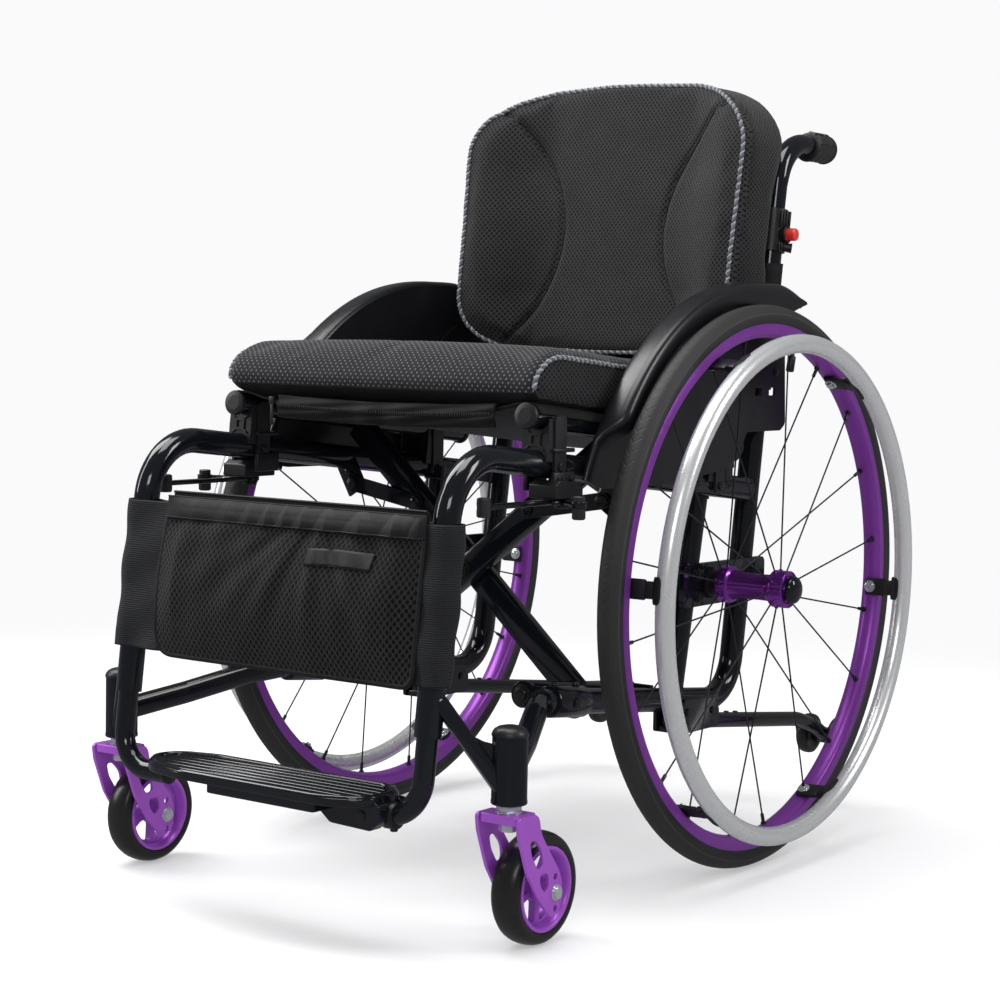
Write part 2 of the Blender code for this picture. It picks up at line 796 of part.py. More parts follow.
def brace_bolt():
    """The bolt through both bars, with its head and nut."""
    end = BAR_SPACE + BAR_DEPTH + GAP
    shank = rod(in_fold(0, -end - WELD, 0), in_fold(0, end + WELD, 0), BOLT_RADIUS, SHAFT_SIDES)
    head = rod(in_fold(0, -end - BOLT_HEAD_HEIGHT, 0), in_fold(0, -end, 0), BOLT_HEAD, SHAFT_SIDES)
    nut = rod(in_fold(0, end, 0), in_fold(0, end + BOLT_HEAD_HEIGHT, 0), BOLT_HEAD, HEX_SIDES)
    finish("brace_bolt", fuse(shank, head, nut), silver)


def seat_tube(side, name):
    """The tube that carries the sling, with its front plug."""
    start = at(side * SEAT_X, SEAT_FRONT_Y, seat_z(SEAT_FRONT_Y))
    end = at(side * SEAT_X, SEAT_REAR_Y, seat_z(SEAT_REAR_Y))
    run = (end - start).normalized()
    plug = rod(start - run * PLUG_LENGTH, start + run * WELD, PLUG_RADIUS, CUTTER_SIDES)
    body = fuse(rod(start, end, SEAT_TUBE_RADIUS, CUTTER_SIDES), plug)
    finish(name + "_seat_tube", body, paint)


def saddle(side, y, name):
    """A block on the top rail with an open groove for the seat tube."""
    low = rail_z(y) + SADDLE_LIFT
    high = seat_z(y)
    half_width = SADDLE_WIDTH / 2
    half_length = SADDLE_LENGTH / 2
    body = block(
        at(side * RAIL_X - half_width, y - half_length, low),
        at(side * RAIL_X + half_width, y + half_length, high))
    start = at(side * SEAT_X, y - SADDLE_CUT, seat_z(y - SADDLE_CUT))
    end = at(side * SEAT_X, y + SADDLE_CUT, seat_z(y + SADDLE_CUT))
    groove = rod(start, end, SEAT_TUBE_RADIUS + GAP, CUTTER_SIDES)
    rail = rail_run(side, y - SADDLE_CUT, y + SADDLE_CUT, TUBE_RADIUS + GAP)
    finish(name, cut(body, groove, rail), plastic)


# Axle plates
def axle_plate(side, name):
    """The plate on the two uprights, with the receiver of the axle."""
    inner = FRAME_X + TUBE_RADIUS + GAP
    middle = inner + PLATE_THICKNESS / 2
    low = TYRE_RADIUS - PLATE_HEIGHT / 2
    high = TYRE_RADIUS + PLATE_HEIGHT / 2
    front = PLATE_FRONT_Y + PLATE_CORNER
    rear = PLATE_REAR_Y - PLATE_CORNER
    outline = [
        (PLATE_FRONT_Y, low + PLATE_CORNER), (front, low), (rear, low),
        (PLATE_REAR_Y, low + PLATE_CORNER), (PLATE_REAR_Y, high - PLATE_CORNER), (rear, high),
        (front, high), (PLATE_FRONT_Y, high - PLATE_CORNER),
    ]
    body = plate([outline], PLATE_THICKNESS, (side * middle, AXLE_Y, 0))
    receiver = rod(
        at(side * RECEIVER_INNER_X, 0, TYRE_RADIUS),
        at(side * (HUB_INNER_X - GAP), 0, TYRE_RADIUS), RECEIVER_RADIUS, SHAFT_SIDES)
    shapes = [receiver]
    for y in (upright_y(TYRE_RADIUS), cane_y(TYRE_RADIUS)):
        head = side * (inner + PLATE_THICKNESS)
        shapes.append(rod(
            at(head - side * WELD, y, TYRE_RADIUS),
            at(head + side * PLATE_BOLT_HEIGHT, y, TYRE_RADIUS), PLATE_BOLT, HEX_SIDES))
    body = fuse(body, *shapes)
    bore = rod(
        at(side * (RECEIVER_INNER_X - REACH), 0, TYRE_RADIUS),
        at(side * (HUB_INNER_X + REACH), 0, TYRE_RADIUS), AXLE_RADIUS + SLIP, SHAFT_SIDES)
    upright = upright_run(side, UPRIGHT_RADIUS + GAP, CUTTER_SIDES)
    finish(name + "_axle_plate", cut(body, bore, upright), paint)


# Rear wheels
def rear_tyre(side, name):
    """A slim tyre with a narrow flat tread."""
    swing = math.acos((RIM_RADIUS + GAP - TYRE_RADIUS + TYRE_SECTION) / TYRE_SECTION)
    last = TYRE_POINTS - 1
    middle = TYRE_RADIUS - TYRE_SECTION * math.cos(swing / last)
    profile = []
    for index in range(TYRE_POINTS):
        angle = swing * (1 - 2 * index / last)
        bead = index in (0, last)
        radius = RIM_RADIUS + GAP if bead else middle + TYRE_SECTION * math.cos(angle)
        profile.append((radius, TYRE_SECTION * math.sin(angle)))
    centre = at(side * WHEEL_X, 0, TYRE_RADIUS)
    finish(name + "_rear_tyre", turned(profile, centre, "X", side, WHEEL_STEPS), rubber, centre)


def rear_rim(side, name):
    """A rim with a flat outer bed and a rounded inner bed."""
    half = RIM_WIDTH / 2
    inner = RIM_RADIUS - RIM_DEPTH
    profile = [
        (RIM_RADIUS, half), (RIM_RADIUS, -half), (inner + RIM_LIP, -half), (inner, -half + RIM_LIP),
        (inner, half - RIM_LIP), (inner + RIM_LIP, half),
    ]
    centre = at(side * WHEEL_X, 0, TYRE_RADIUS)
    finish(name + "_rear_rim", turned(profile, centre, "X", side, WHEEL_STEPS), anodised, centre)


def rear_hub(side, name):
    """A waisted hub with two rings of straight spokes."""
    inner = HUB_INNER_X - WHEEL_X
    outer = HUB_OUTER_X - WHEEL_X
    bore = AXLE_RADIUS + SLIP
    profile = [
        (bore, outer), (HUB_FLANGE, outer), (HUB_FLANGE, outer - HUB_OUTER_FLANGE_WIDTH),
        (HUB_WAIST, outer - HUB_OUTER_FLANGE_WIDTH - HUB_NECK), (HUB_WAIST, HUB_WAIST_INNER_X - WHEEL_X),
        (HUB_WAIST + HUB_SWELL, inner + HUB_FLANGE_WIDTH), (HUB_FLANGE, inner + HUB_FLANGE_WIDTH - WELD),
        (HUB_FLANGE, inner), (bore, inner),
    ]
    centre = at(side * WHEEL_X, 0, TYRE_RADIUS)
    body = turned(profile, centre, "X", side, SHAFT_SIDES)
    spokes = []
    flanges = (inner + HUB_FLANGE_WIDTH / 2, outer - HUB_OUTER_FLANGE_WIDTH / 2)
    reach = RIM_RADIUS - RIM_DEPTH - GAP
    for index in range(SPOKE_COUNT):
        turn = Matrix.Rotation(2 * math.pi * index / SPOKE_COUNT, 3, "X")
        flange = flanges[index % 2] * side
        end = SPOKE_SPREAD * flange
        start = centre + turn @ Vector((flange, 0, HUB_FLANGE - SPOKE_ROOT))
        spokes.append(rod(start, centre + turn @ Vector((end, 0, reach)), SPOKE_RADIUS, SPOKE_SIDES))
    finish(name + "_rear_hub", fuse(body, *spokes), anodised, centre)


def handrim(side, name):
    """The push ring, with tabs to the rim."""
    centre = at(side * WHEEL_X, 0, TYRE_RADIUS)
    ring_centre = at(side * HANDRIM_X, 0, TYRE_RADIUS)
    places = []
    for index in range(HANDRIM_STEPS):
        turn = Matrix.Rotation(2 * math.pi * index / HANDRIM_STEPS, 3, "X")
        places.append(ring_centre + turn @ Vector((0, HANDRIM_RADIUS, 0)))
    ring = tube(places, HANDRIM_TUBE, sides=PIN_SIDES, closed=True)
    rim_face = WHEEL_X + RIM_WIDTH / 2 + GAP
    tabs = []
    for index in range(TAB_COUNT):
        turn = Matrix.Rotation(TAB_PHASE + 2 * math.pi * index / TAB_COUNT, 3, "X")
        radius = RIM_RADIUS - RIM_DEPTH + TAB_RISE + TAB_DEPTH / 2
        start = at(side * rim_face, 0, TYRE_RADIUS) + turn @ Vector((0, radius, 0))
        end = at(side * (HANDRIM_X + TAB_OVERLAP), 0, TYRE_RADIUS) + turn @ Vector((0, radius, 0))
        tabs.append(bar(start, end, TAB_WIDTH, TAB_DEPTH, turn @ Vector((0, 1, 0))))
    finish(name + "_handrim", fuse(ring, *tabs), silver, centre)


def axle_pin(side, name):
    """The quick-release axle, pressed in by its domed cap."""
    face = HUB_OUTER_X + AXLE_TRAVEL + GAP
    profile = [
        (0, face + CAP_LENGTH), (0.6 * CAP_RADIUS, face + CAP_LENGTH - 0.001),
        (0.9 * CAP_RADIUS, face + CAP_LENGTH - 0.003), (CAP_RADIUS, face + CAP_LENGTH - 0.006),
        (CAP_RADIUS, face), (0, face),
    ]
    cap = turned(profile, at(0, 0, TYRE_RADIUS), "X", side, SHAFT_SIDES)
    shaft = rod(
        at(side * AXLE_INNER_X, 0, TYRE_RADIUS), at(side * (face + 0.002), 0, TYRE_RADIUS),
        AXLE_RADIUS, PIN_SIDES)
    finish(name + "_axle_pin", fuse(cap, shaft), plastic, at(side * WHEEL_X, 0, TYRE_RADIUS))


# Casters
def caster_mount(side, name):
    """Bearing housing with its arm to the lower tube and its strut to the front tube."""
    stem_x = side * CASTER_X
    housing = turned([
        (0, HOUSING_TOP_Z), (HOUSING_RADIUS - HOUSING_DOME, HOUSING_TOP_Z),
        (HOUSING_RADIUS, HOUSING_TOP_Z - HOUSING_DOME), (HOUSING_RADIUS, HOUSING_BOTTOM_Z),
        (0, HOUSING_BOTTOM_Z),
    ], at(stem_x, STEM_Y, 0), "Z", 1, SHAFT_SIDES)
    start_z = lower_z(SLEEVE_FRONT_Y)
    path = [at(side * FRAME_X, SLEEVE_FRONT_Y - GAP, start_z)]
    path += [at(side * x, y, z) for x, y, z in ARM_PATH]
    path.append(at(stem_x, STEM_Y, ARM_END_Z))
    arm = tube(path, ARM_RADIUS, sides=TUBE_SIDES)
    top = at(side * RAIL_X, front_y(STRUT_TOP_Z), STRUT_TOP_Z)
    foot = at(stem_x, STEM_Y, STRUT_END_Z)
    strut = bar(top, foot, STRUT_WIDTH, STRUT_THICKNESS, Vector((side, 1, 0)))
    body = fuse(housing, arm, strut)
    bore = rod(
        at(stem_x, STEM_Y, HOUSING_BOTTOM_Z - REACH), at(stem_x, STEM_Y, BORE_TOP_Z),
        HOUSING_BORE, SHAFT_SIDES)
    front = front_run(side, MOUNT_CUT_LOW_Z, MOUNT_CUT_HIGH_Z, TUBE_RADIUS + GAP)
    collar = front_run(side, MOUNT_CUT_LOW_Z, FRONT_BOTTOM_Z + COLLAR_HEIGHT + GAP, COLLAR_RADIUS + GAP)
    finish(name + "_caster_mount", cut(body, bore, front, collar), paint)


FORK_FRONT_Y = -0.4590
FORK_REAR_Y = -0.4266
FORK_OUTLINE = [
    (-0.4588, 0.1260), (FORK_REAR_Y, 0.1290), (-0.4213, 0.1129), (-0.3897, 0.0750), (-0.3790, 0.0620),
    (-0.3755, 0.0480), (-0.3830, 0.0350), (-0.3980, 0.0305), (-0.4110, 0.0350), (-0.4204, 0.0442),
    (-0.4535, 0.1050),
]
FORK_SLOT = [(-0.4350, 0.1050), (-0.4290, 0.1070), (-0.4180, 0.0830), (-0.4230, 0.0800)]
FORK_WINDOW = [(-0.4225, 0.0678), (-0.4115, 0.0684), (-0.4159, 0.0574)]


def caster_fork(side, name):
    """Two legs below a top plate, with the stem, its nut and the wheel's bolt."""
    middle = CASTER_X
    outer = FORK_HALF_WIDTH
    top = block(
        at(side * middle - outer, FORK_FRONT_Y, FORK_TOP_Z - FORK_PLATE),
        at(side * middle + outer, FORK_REAR_Y, FORK_TOP_Z))
    shapes = []
    for leg in (-1, 1):
        place = side * middle + leg * (outer - FORK_LEG / 2)
        shapes.append(plate(
            [FORK_OUTLINE, FORK_SLOT, FORK_WINDOW], FORK_LEG, (place, AXLE_Y, 0)))
    shapes.append(rod(
        at(side * middle, STEM_Y, FORK_TOP_Z - FORK_PLATE / 2), at(side * middle, STEM_Y, STEM_TOP_Z),
        STEM_RADIUS, PIN_SIDES))
    shapes.append(rod(
        at(side * middle, STEM_Y, FORK_TOP_Z - WELD),
        at(side * middle, STEM_Y, HOUSING_BOTTOM_Z - GAP), NUT_RADIUS, PIN_SIDES))
    shapes.append(rod(
        at(side * middle - outer, CASTER_Y, CASTER_RADIUS),
        at(side * middle + outer, CASTER_Y, CASTER_RADIUS), CASTER_BOLT, PIN_SIDES))
    for end in (-1, 1):
        start = side * middle + end * (outer - WELD)
        shapes.append(rod(
            at(start, CASTER_Y, CASTER_RADIUS),
            at(start + end * CASTER_BOLT_HEIGHT, CASTER_Y, CASTER_RADIUS),
            CASTER_BOLT_HEAD, HEX_SIDES))
    finish(name + "_caster_fork", fuse(top, *shapes), anodised, at(side * middle, STEM_Y, FORK_TOP_Z))


def caster_wheel(side, name):
    """The hub with its web and round holes."""
    half = CASTER_HUB_WIDTH / 2
    boss = FORK_HALF_WIDTH - FORK_LEG - GAP
    web = CASTER_WEB / 2
    bore = CASTER_BOLT + SLIP
    rim = CASTER_HUB_RADIUS - CASTER_RIM
    profile = [
        (bore, boss), (CASTER_BOSS_RADIUS, boss), (rim, web), (CASTER_HUB_RADIUS, half),
        (CASTER_HUB_RADIUS, -half), (rim, -web), (CASTER_BOSS_RADIUS, -boss), (bore, -boss),
    ]
    centre = at(side * CASTER_X, CASTER_Y, CASTER_RADIUS)
    body = turned(profile, centre, "X", side, CASTER_STEPS)
    holes = []
    for index in range(CASTER_HOLES):
        turn = Matrix.Rotation(2 * math.pi * index / CASTER_HOLES, 3, "X")
        place = centre + turn @ Vector((0, 0, CASTER_HOLE_CIRCLE))
        reach = Vector((CASTER_WIDTH, 0, 0))
        holes.append(rod(place - reach, place + reach, CASTER_HOLE_RADIUS, HEX_SIDES))
    finish(name + "_caster_wheel", cut(body, *holes), anodised, centre)


def caster_tyre(side, name):
    """The solid caster tyre."""
    half = CASTER_WIDTH / 2
    inner = CASTER_HUB_RADIUS + GAP
    profile = [
        (inner, half), (CASTER_RADIUS - CASTER_EDGE, half), (CASTER_RADIUS, half - CASTER_EDGE),
        (CASTER_RADIUS, -half + CASTER_EDGE), (CASTER_RADIUS - CASTER_EDGE, -half), (inner, -half),
    ]
    centre = at(side * CASTER_X, CASTER_Y, CASTER_RADIUS)
    finish(name + "_caster_tyre", turned(profile, centre, "X", side, CASTER_STEPS), rubber, centre)


# Footrest
def footrest_tube(side, name):
    """The tube that slides in the front tube and turns inboard."""
    top_z = FRONT_BOTTOM_Z + FOOT_TUBE_INSIDE
    low_z = FOOT_TUBE_Z
    body = tube([
        at(side * RAIL_X, front_y(top_z), top_z),
        at(side * RAIL_X, front_y(low_z), low_z),
        at(side * FOOT_TUBE_END_X, front_y(low_z), low_z),
    ], FOOT_TUBE_RADIUS, bend=FOOT_TUBE_BEND, steps=5)
    finish(name + "_footrest_tube", body, paint)


def foot_hinge():
    """The clamp on the left footrest tube, with the tongue and pin of the footplate."""
    y = front_y(FOOT_TUBE_Z)
    middle_x = (HINGE_CLAMP_INNER_X + HINGE_CLAMP_OUTER_X) / 2
    body = block(
        at(HINGE_CLAMP_INNER_X, y - HINGE_CLAMP_HALF, FOOT_TUBE_Z - HINGE_CLAMP_HALF),
        at(HINGE_CLAMP_OUTER_X, y + HINGE_CLAMP_HALF, FOOTPLATE_BOTTOM_Z - HINGE_CLAMP_DROP))
    half = HINGE_WIDTH / 2
    tongue = block(
        at(middle_x, y - half, FOOTPLATE_BOTTOM_Z - HINGE_CLAMP_DROP - WELD),
        at(HINGE_X + HINGE_RADIUS - GAP, y + half, HINGE_Z))
    knuckle = rod(at(HINGE_X, y - half, HINGE_Z), at(HINGE_X, y + half, HINGE_Z), HINGE_RADIUS, SHAFT_SIDES)
    pin = rod(
        at(HINGE_X, y - half - EAR_THICKNESS - WELD, HINGE_Z),
        at(HINGE_X, y + half + EAR_THICKNESS + WELD, HINGE_Z), HINGE_PIN, TUBE_SIDES)
    body = fuse(body, tongue, knuckle, pin)
    bore = rod(
        at(FOOT_TUBE_END_X - REACH, y, FOOT_TUBE_Z), at(RAIL_X, y, FOOT_TUBE_Z),
        FOOT_TUBE_RADIUS + GAP, CUTTER_SIDES)
    finish("foot_hinge", cut(body, bore), plastic)


def footplate():
    """A ribbed plate with rounded tips, hinged at its left end."""
    y = front_y(FOOT_TUBE_Z)
    corner = FOOTPLATE_CORNER
    outline = []
    corners = (
        (FOOTPLATE_LEFT_X - corner, FOOTPLATE_REAR_Y - corner),
        (FOOTPLATE_RIGHT_X + corner, FOOTPLATE_REAR_Y - corner),
        (FOOTPLATE_RIGHT_X + corner, FOOTPLATE_FRONT_Y + corner),
        (FOOTPLATE_LEFT_X - corner, FOOTPLATE_FRONT_Y + corner),
    )
    quarter = math.pi / 2
    for index, (x_centre, y_centre) in enumerate(corners):
        for step in range(CORNER_STEPS + 1):
            angle = quarter * (index + step / CORNER_STEPS)
            outline.append((x_centre + corner * math.cos(angle), y_centre + corner * math.sin(angle)))
    middle_z = FOOTPLATE_BOTTOM_Z + FOOTPLATE_THICKNESS / 2
    body = plate([outline], FOOTPLATE_THICKNESS, (0, AXLE_Y, middle_z), "Z")
    shapes = []
    pitch = (FOOTPLATE_REAR_Y - FOOTPLATE_FRONT_Y - 2 * RIDGE_EDGE) / (RIDGE_COUNT - 1)
    top = FOOTPLATE_BOTTOM_Z + FOOTPLATE_THICKNESS
    for index in range(RIDGE_COUNT):
        ridge_y = FOOTPLATE_FRONT_Y + RIDGE_EDGE + index * pitch
        to_edge = min(ridge_y - FOOTPLATE_FRONT_Y, FOOTPLATE_REAR_Y - ridge_y)
        inset = RIDGE_INSET + max(0.0, corner - to_edge) * RIDGE_SHORTENING
        shapes.append(block(
            at(FOOTPLATE_RIGHT_X + inset, ridge_y - RIDGE_WIDTH / 2, top - WELD),
            at(FOOTPLATE_LEFT_X - inset, ridge_y + RIDGE_WIDTH / 2, top + RIDGE_HEIGHT)))
    half = HINGE_WIDTH / 2 + GAP
    for end in (-1, 1):
        inner = y + end * half
        outer = y + end * (half + EAR_THICKNESS)
        shapes.append(rod(
            at(HINGE_X, inner, HINGE_Z), at(HINGE_X, outer, HINGE_Z), HINGE_RADIUS, SHAFT_SIDES))
        low_y = min(inner, outer)
        shapes.append(block(
            at(FOOTPLATE_LEFT_X - EAR_ROOT, low_y, FOOTPLATE_BOTTOM_Z + GAP),
            at(HINGE_X, low_y + EAR_THICKNESS, top)))
    body = fuse(body, *shapes)
    bore = rod(
        at(HINGE_X, y - REACH, HINGE_Z), at(HINGE_X, y + REACH, HINGE_Z), HINGE_PIN + SLIP, SHAFT_SIDES)
    finish("footplate", cut(body, bore), plastic, at(HINGE_X, y, HINGE_Z))


# Anti-tippers
def anti_tipper(side, name):
    """A clamp under the lower tube and the tube that carries the small wheels."""
    x = side * FRAME_X
    clamp = block(
        at(x - TIP_CLAMP_HALF, TIP_CLAMP_FRONT_Y, TIP_CLAMP_BOTTOM_Z),
        at(x + TIP_CLAMP_HALF, TIP_CLAMP_REAR_Y, TIP_CLAMP_TOP_Z))
    path = [at(x, y, z) for y, z in TIP_PATH]
    arm = tube([*path, at(x, TIP_Y, TIP_Z)], TIP_TUBE_RADIUS, sides=PIN_SIDES)
    inner = TIP_WHEEL_OFFSET - TIP_WHEEL_WIDTH / 2 - GAP
    eye = rod(at(x - inner, TIP_Y, TIP_Z), at(x + inner, TIP_Y, TIP_Z), TIP_EYE_RADIUS, TUBE_SIDES)
    body = fuse(clamp, arm, eye)
    front = TIP_CLAMP_FRONT_Y - REACH
    rear = TIP_CLAMP_REAR_Y + REACH
    lower = rod(at(x, front, lower_z(front)), at(x, rear, lower_z(rear)), TUBE_RADIUS + GAP, CUTTER_SIDES)
    bore = rod(
        at(x - REACH, TIP_Y, TIP_Z), at(x + REACH, TIP_Y, TIP_Z), TIP_AXLE_RADIUS + SLIP, PIN_SIDES)
    finish(name + "_anti_tipper", cut(body, lower, bore), paint)


def anti_tip_wheels(side, name):
    """Two small wheels on one axle."""
    x = side * FRAME_X
    axle = rod(
        at(x - TIP_WHEEL_OFFSET, TIP_Y, TIP_Z), at(x + TIP_WHEEL_OFFSET, TIP_Y, TIP_Z),
        TIP_AXLE_RADIUS, PIN_SIDES)
    half = TIP_WHEEL_WIDTH / 2
    shoulder = TIP_WHEEL_RADIUS - TIP_WHEEL_EDGE
    profile = [
        (0, half), (shoulder, half), (TIP_WHEEL_RADIUS, half - TIP_WHEEL_EDGE),
        (TIP_WHEEL_RADIUS, -half + TIP_WHEEL_EDGE), (shoulder, -half), (0, -half),
    ]
    wheels = []
    for end in (-1, 1):
        wheels.append(turned(profile, at(x + end * TIP_WHEEL_OFFSET, TIP_Y, TIP_Z), "X", 1, SHAFT_SIDES))
    finish(name + "_anti_tip_wheels", fuse(axle, *wheels), rubber, at(x, TIP_Y, TIP_Z))


# Brakes
def brake_body(side, name):
    """The block under the top rail, with the stud of the lever."""
    x = side * BRAKE_X
    top = BRAKE_Z + LEVER_THICKNESS + GAP
    edges = sorted((x - side * BRAKE_INWARD, x + side * BRAKE_OUTWARD))
    body = block(at(edges[0], BRAKE_FRONT_Y, top), at(edges[1], BRAKE_REAR_Y, BRAKE_TOP_Z))
    low = BRAKE_Z - GAP
    stud = rod(at(x, BRAKE_Y, top + WELD), at(x, BRAKE_Y, low - WELD), BRAKE_STUD, PIN_SIDES)
    head = rod(at(x, BRAKE_Y, low), at(x, BRAKE_Y, low - BRAKE_HEAD_HEIGHT), BRAKE_HEAD, HEX_SIDES)
    rail = rail_run(side, BRAKE_FRONT_Y - REACH, BRAKE_REAR_Y + REACH, TUBE_RADIUS + GAP)
    finish(name + "_brake_body", cut(fuse(body, stud, head), rail), plastic)


def brake_lever(side, name):
    """The flat lever with its knob, and the arm with the shoe."""
    x = side * BRAKE_X
    middle = BRAKE_Z + LEVER_THICKNESS / 2
    pivot = at(x, BRAKE_Y, middle)
    tip = at(x, BRAKE_Y - LEVER_LENGTH, middle)
    shoe = at(x + side * SHOE_REACH * math.cos(SHOE_ANGLE),
              BRAKE_Y + SHOE_REACH * math.sin(SHOE_ANGLE), middle)
    up = Vector((0, 0, 1))
    shapes = [
        bar(pivot, tip, LEVER_WIDTH, LEVER_THICKNESS, up),
        bar(pivot, shoe, SHOE_ARM_WIDTH, LEVER_THICKNESS, up),
        rod(pivot - up * LEVER_THICKNESS / 2, pivot + up * LEVER_THICKNESS / 2, LEVER_EYE, PIN_SIDES),
        rod(shoe - up * SHOE_LOW, shoe + up * SHOE_HIGH, SHOE_RADIUS, PIN_SIDES),
    ]
    knob = rod(tip - up * KNOB_HALF, tip + up * KNOB_HALF, KNOB_RADIUS, PIN_SIDES)
    body = fuse(knob, *shapes)
    bore = rod(pivot - up * REACH, pivot + up * REACH, BRAKE_STUD + SLIP, PIN_SIDES)
    finish(name + "_brake_lever", cut(body, bore), paint, at(x, BRAKE_Y, BRAKE_Z))


# Guards
def guard_arc(inset):
    """Points along the fender, moved towards the axle by the inset."""
    points = []
    for step in range(GUARD_STEPS + 1):
        share = step / GUARD_STEPS
        angle = GUARD_FRONT_ANGLE + (GUARD_REAR_ANGLE - GUARD_FRONT_ANGLE) * share
        radius = GUARD_FRONT_RADIUS + (GUARD_REAR_RADIUS - GUARD_FRONT_RADIUS) * share - inset
        points.append((radius * math.cos(angle), TYRE_RADIUS + radius * math.sin(angle)))
    return points


def side_guard(side, name):
    """A flat guard with a lip that curves over towards the tyre."""
    panel = plate([guard_arc(0) + GUARD_LOW], GUARD_THICKNESS, (side * GUARD_X, AXLE_Y, 0))
    width = GUARD_LIP_X - GUARD_X
    strip = guard_arc(0) + list(reversed(guard_arc(GUARD_LIP)))
    lip = plate([strip], width, (side * (GUARD_X + width / 2), AXLE_Y, 0))
    bosses = []
    for y in GUARD_BOSS_Y:
        z = rail_z(y) + GUARD_BOSS_RISE
        start = at(side * (RAIL_X + TUBE_RADIUS + GAP), y, z)
        bosses.append(rod(start, at(side * GUARD_X, y, z), GUARD_BOSS, PIN_SIDES))
    finish(name + "_side_guard", fuse(panel, lip, *bosses), plastic)


# Push handles
def push_handle(side, name):
    """The tube that slides in the cane, bent rearward at its top."""
    x = side * FRAME_X
    body = tube([
        at(x, cane_y(HANDLE_BOTTOM_Z), HANDLE_BOTTOM_Z),
        at(x, cane_y(HANDLE_Z), HANDLE_Z),
        at(x, GRIP_REAR_Y - GRIP_END, HANDLE_Z + HANDLE_LIFT),
    ], STEM_TUBE_RADIUS, bend=HANDLE_BEND, steps=5)
    finish(name + "_push_handle", body, paint, at(x, cane_y(HANDLE_BOTTOM_Z), HANDLE_BOTTOM_Z))


def handle_grip(side, name):
    """A closed-ended grip over the handle's end."""
    x = side * FRAME_X
    start = at(x, GRIP_FRONT_Y, HANDLE_Z)
    end = at(x, GRIP_REAR_Y, HANDLE_Z + HANDLE_LIFT)
    body = rod(start, end, GRIP_RADIUS, SHAFT_SIDES)
    run = (end - start).normalized()
    bore = rod(start - run * REACH, end - run * (GRIP_END - SLIP), STEM_TUBE_RADIUS + SLIP, SHAFT_SIDES)
    finish(name + "_handle_grip", cut(body, bore), rubber)


def height_clamp(side, name):
    """The collar on the cane's top, with the bore of the button and a small knob."""
    x = side * FRAME_X
    low = at(x, cane_y(CLAMP_BOTTOM_Z), CLAMP_BOTTOM_Z)
    high = at(x, cane_y(CLAMP_TOP_Z), CLAMP_TOP_Z)
    body = rod(low, high, CLAMP_RADIUS, SHAFT_SIDES)
    pad_x = side * (CLAMP_FACE_X - FRAME_X - CLAMP_PAD_THICKNESS / 2)
    pad = bar(low + Vector((pad_x, 0, WELD)), high + Vector((pad_x, 0, -WELD)),
              CLAMP_PAD_THICKNESS, CLAMP_PAD_WIDTH, Vector((0, 1, 0)))
    knob_y = cane_y(CLAMP_BOTTOM_Z)
    knob = rod(
        at(side * KNOB_START_X, knob_y, CLAMP_BOTTOM_Z + CLAMP_KNOB_RISE),
        at(side * KNOB_END_X, knob_y, CLAMP_BOTTOM_Z - CLAMP_KNOB_DROP), CLAMP_KNOB, PIN_SIDES)
    body = fuse(body, pad, knob)
    below = CLAMP_BOTTOM_Z - 2 * REACH
    above = CLAMP_TOP_Z + REACH
    cane_end = CANE_TOP_Z + GAP
    start = at(x, cane_y(below), below)
    cane = rod(start, at(x, cane_y(cane_end), cane_end), TUBE_RADIUS + GAP, CUTTER_SIDES)
    stem = rod(start, at(x, cane_y(above), above), STEM_TUBE_RADIUS + SLIP, SHAFT_SIDES)
    button = rod(
        at(side * (CLAMP_FACE_X - BUTTON_BORE_DEPTH), cane_y(BUTTON_Z), BUTTON_Z),
        at(side * (CLAMP_FACE_X + REACH), cane_y(BUTTON_Z), BUTTON_Z), BUTTON_RADIUS + SLIP, SHAFT_SIDES)
    finish(name + "_height_clamp", cut(body, cane, stem, button), plastic)


def height_button(side, name):
    """The red button that frees the push handle."""
    start = CLAMP_FACE_X - BUTTON_BORE_DEPTH + BUTTON_TRAVEL + GAP
    end = start + BUTTON_LENGTH
    y = cane_y(BUTTON_Z)
    profile = [
        (0, end), (BUTTON_RADIUS - BUTTON_EDGE, end), (BUTTON_RADIUS, end - BUTTON_EDGE),
        (BUTTON_RADIUS, start), (0, start),
    ]
    body = turned(profile, at(0, y, BUTTON_Z), "X", side, SHAFT_SIDES)
    finish(name + "_height_button", body, red, at(side * CLAMP_FACE_X, y, BUTTON_Z))


# Cushions
def cushion_cage(cuts_x, cuts_y, cuts_z, form):
    """A unit block sliced at the given places and shaped by a function, then smoothed."""
    cage = bmesh.new()
    bmesh.ops.create_cube(cage, size=2)
    for axis, cuts in enumerate((cuts_x, cuts_y, cuts_z)):
        normal = Vector((0, 0, 0))
        normal[axis] = 1
        for place in cuts:
            geometry = cage.verts[:] + cage.edges[:] + cage.faces[:]
            bmesh.ops.bisect_plane(cage, geom=geometry, plane_co=normal * place, plane_no=normal)
    for vert in cage.verts:
        vert.co = form(*vert.co)
    mesh = bpy.data.meshes.new("cushion")
    cage.to_mesh(mesh)
    cage.free()
    made = link_shape(mesh)
    smooth = made.modifiers.new("smooth", "SUBSURF")
    smooth.levels = 1
    smooth.render_levels = 1
    return bake(made)


def squircle(u, v, power):
    """Pull the corners of a unit square in to a rounded square."""
    size = max(abs(u), abs(v))
    if size < 1e-6:
        return u, v
    a = abs(u) / size
    b = abs(v) / size
    scale = (a ** power + b ** power) ** (-1 / power)
    return u * (1 + (scale - 1) * size), v * (1 + (scale - 1) * size)


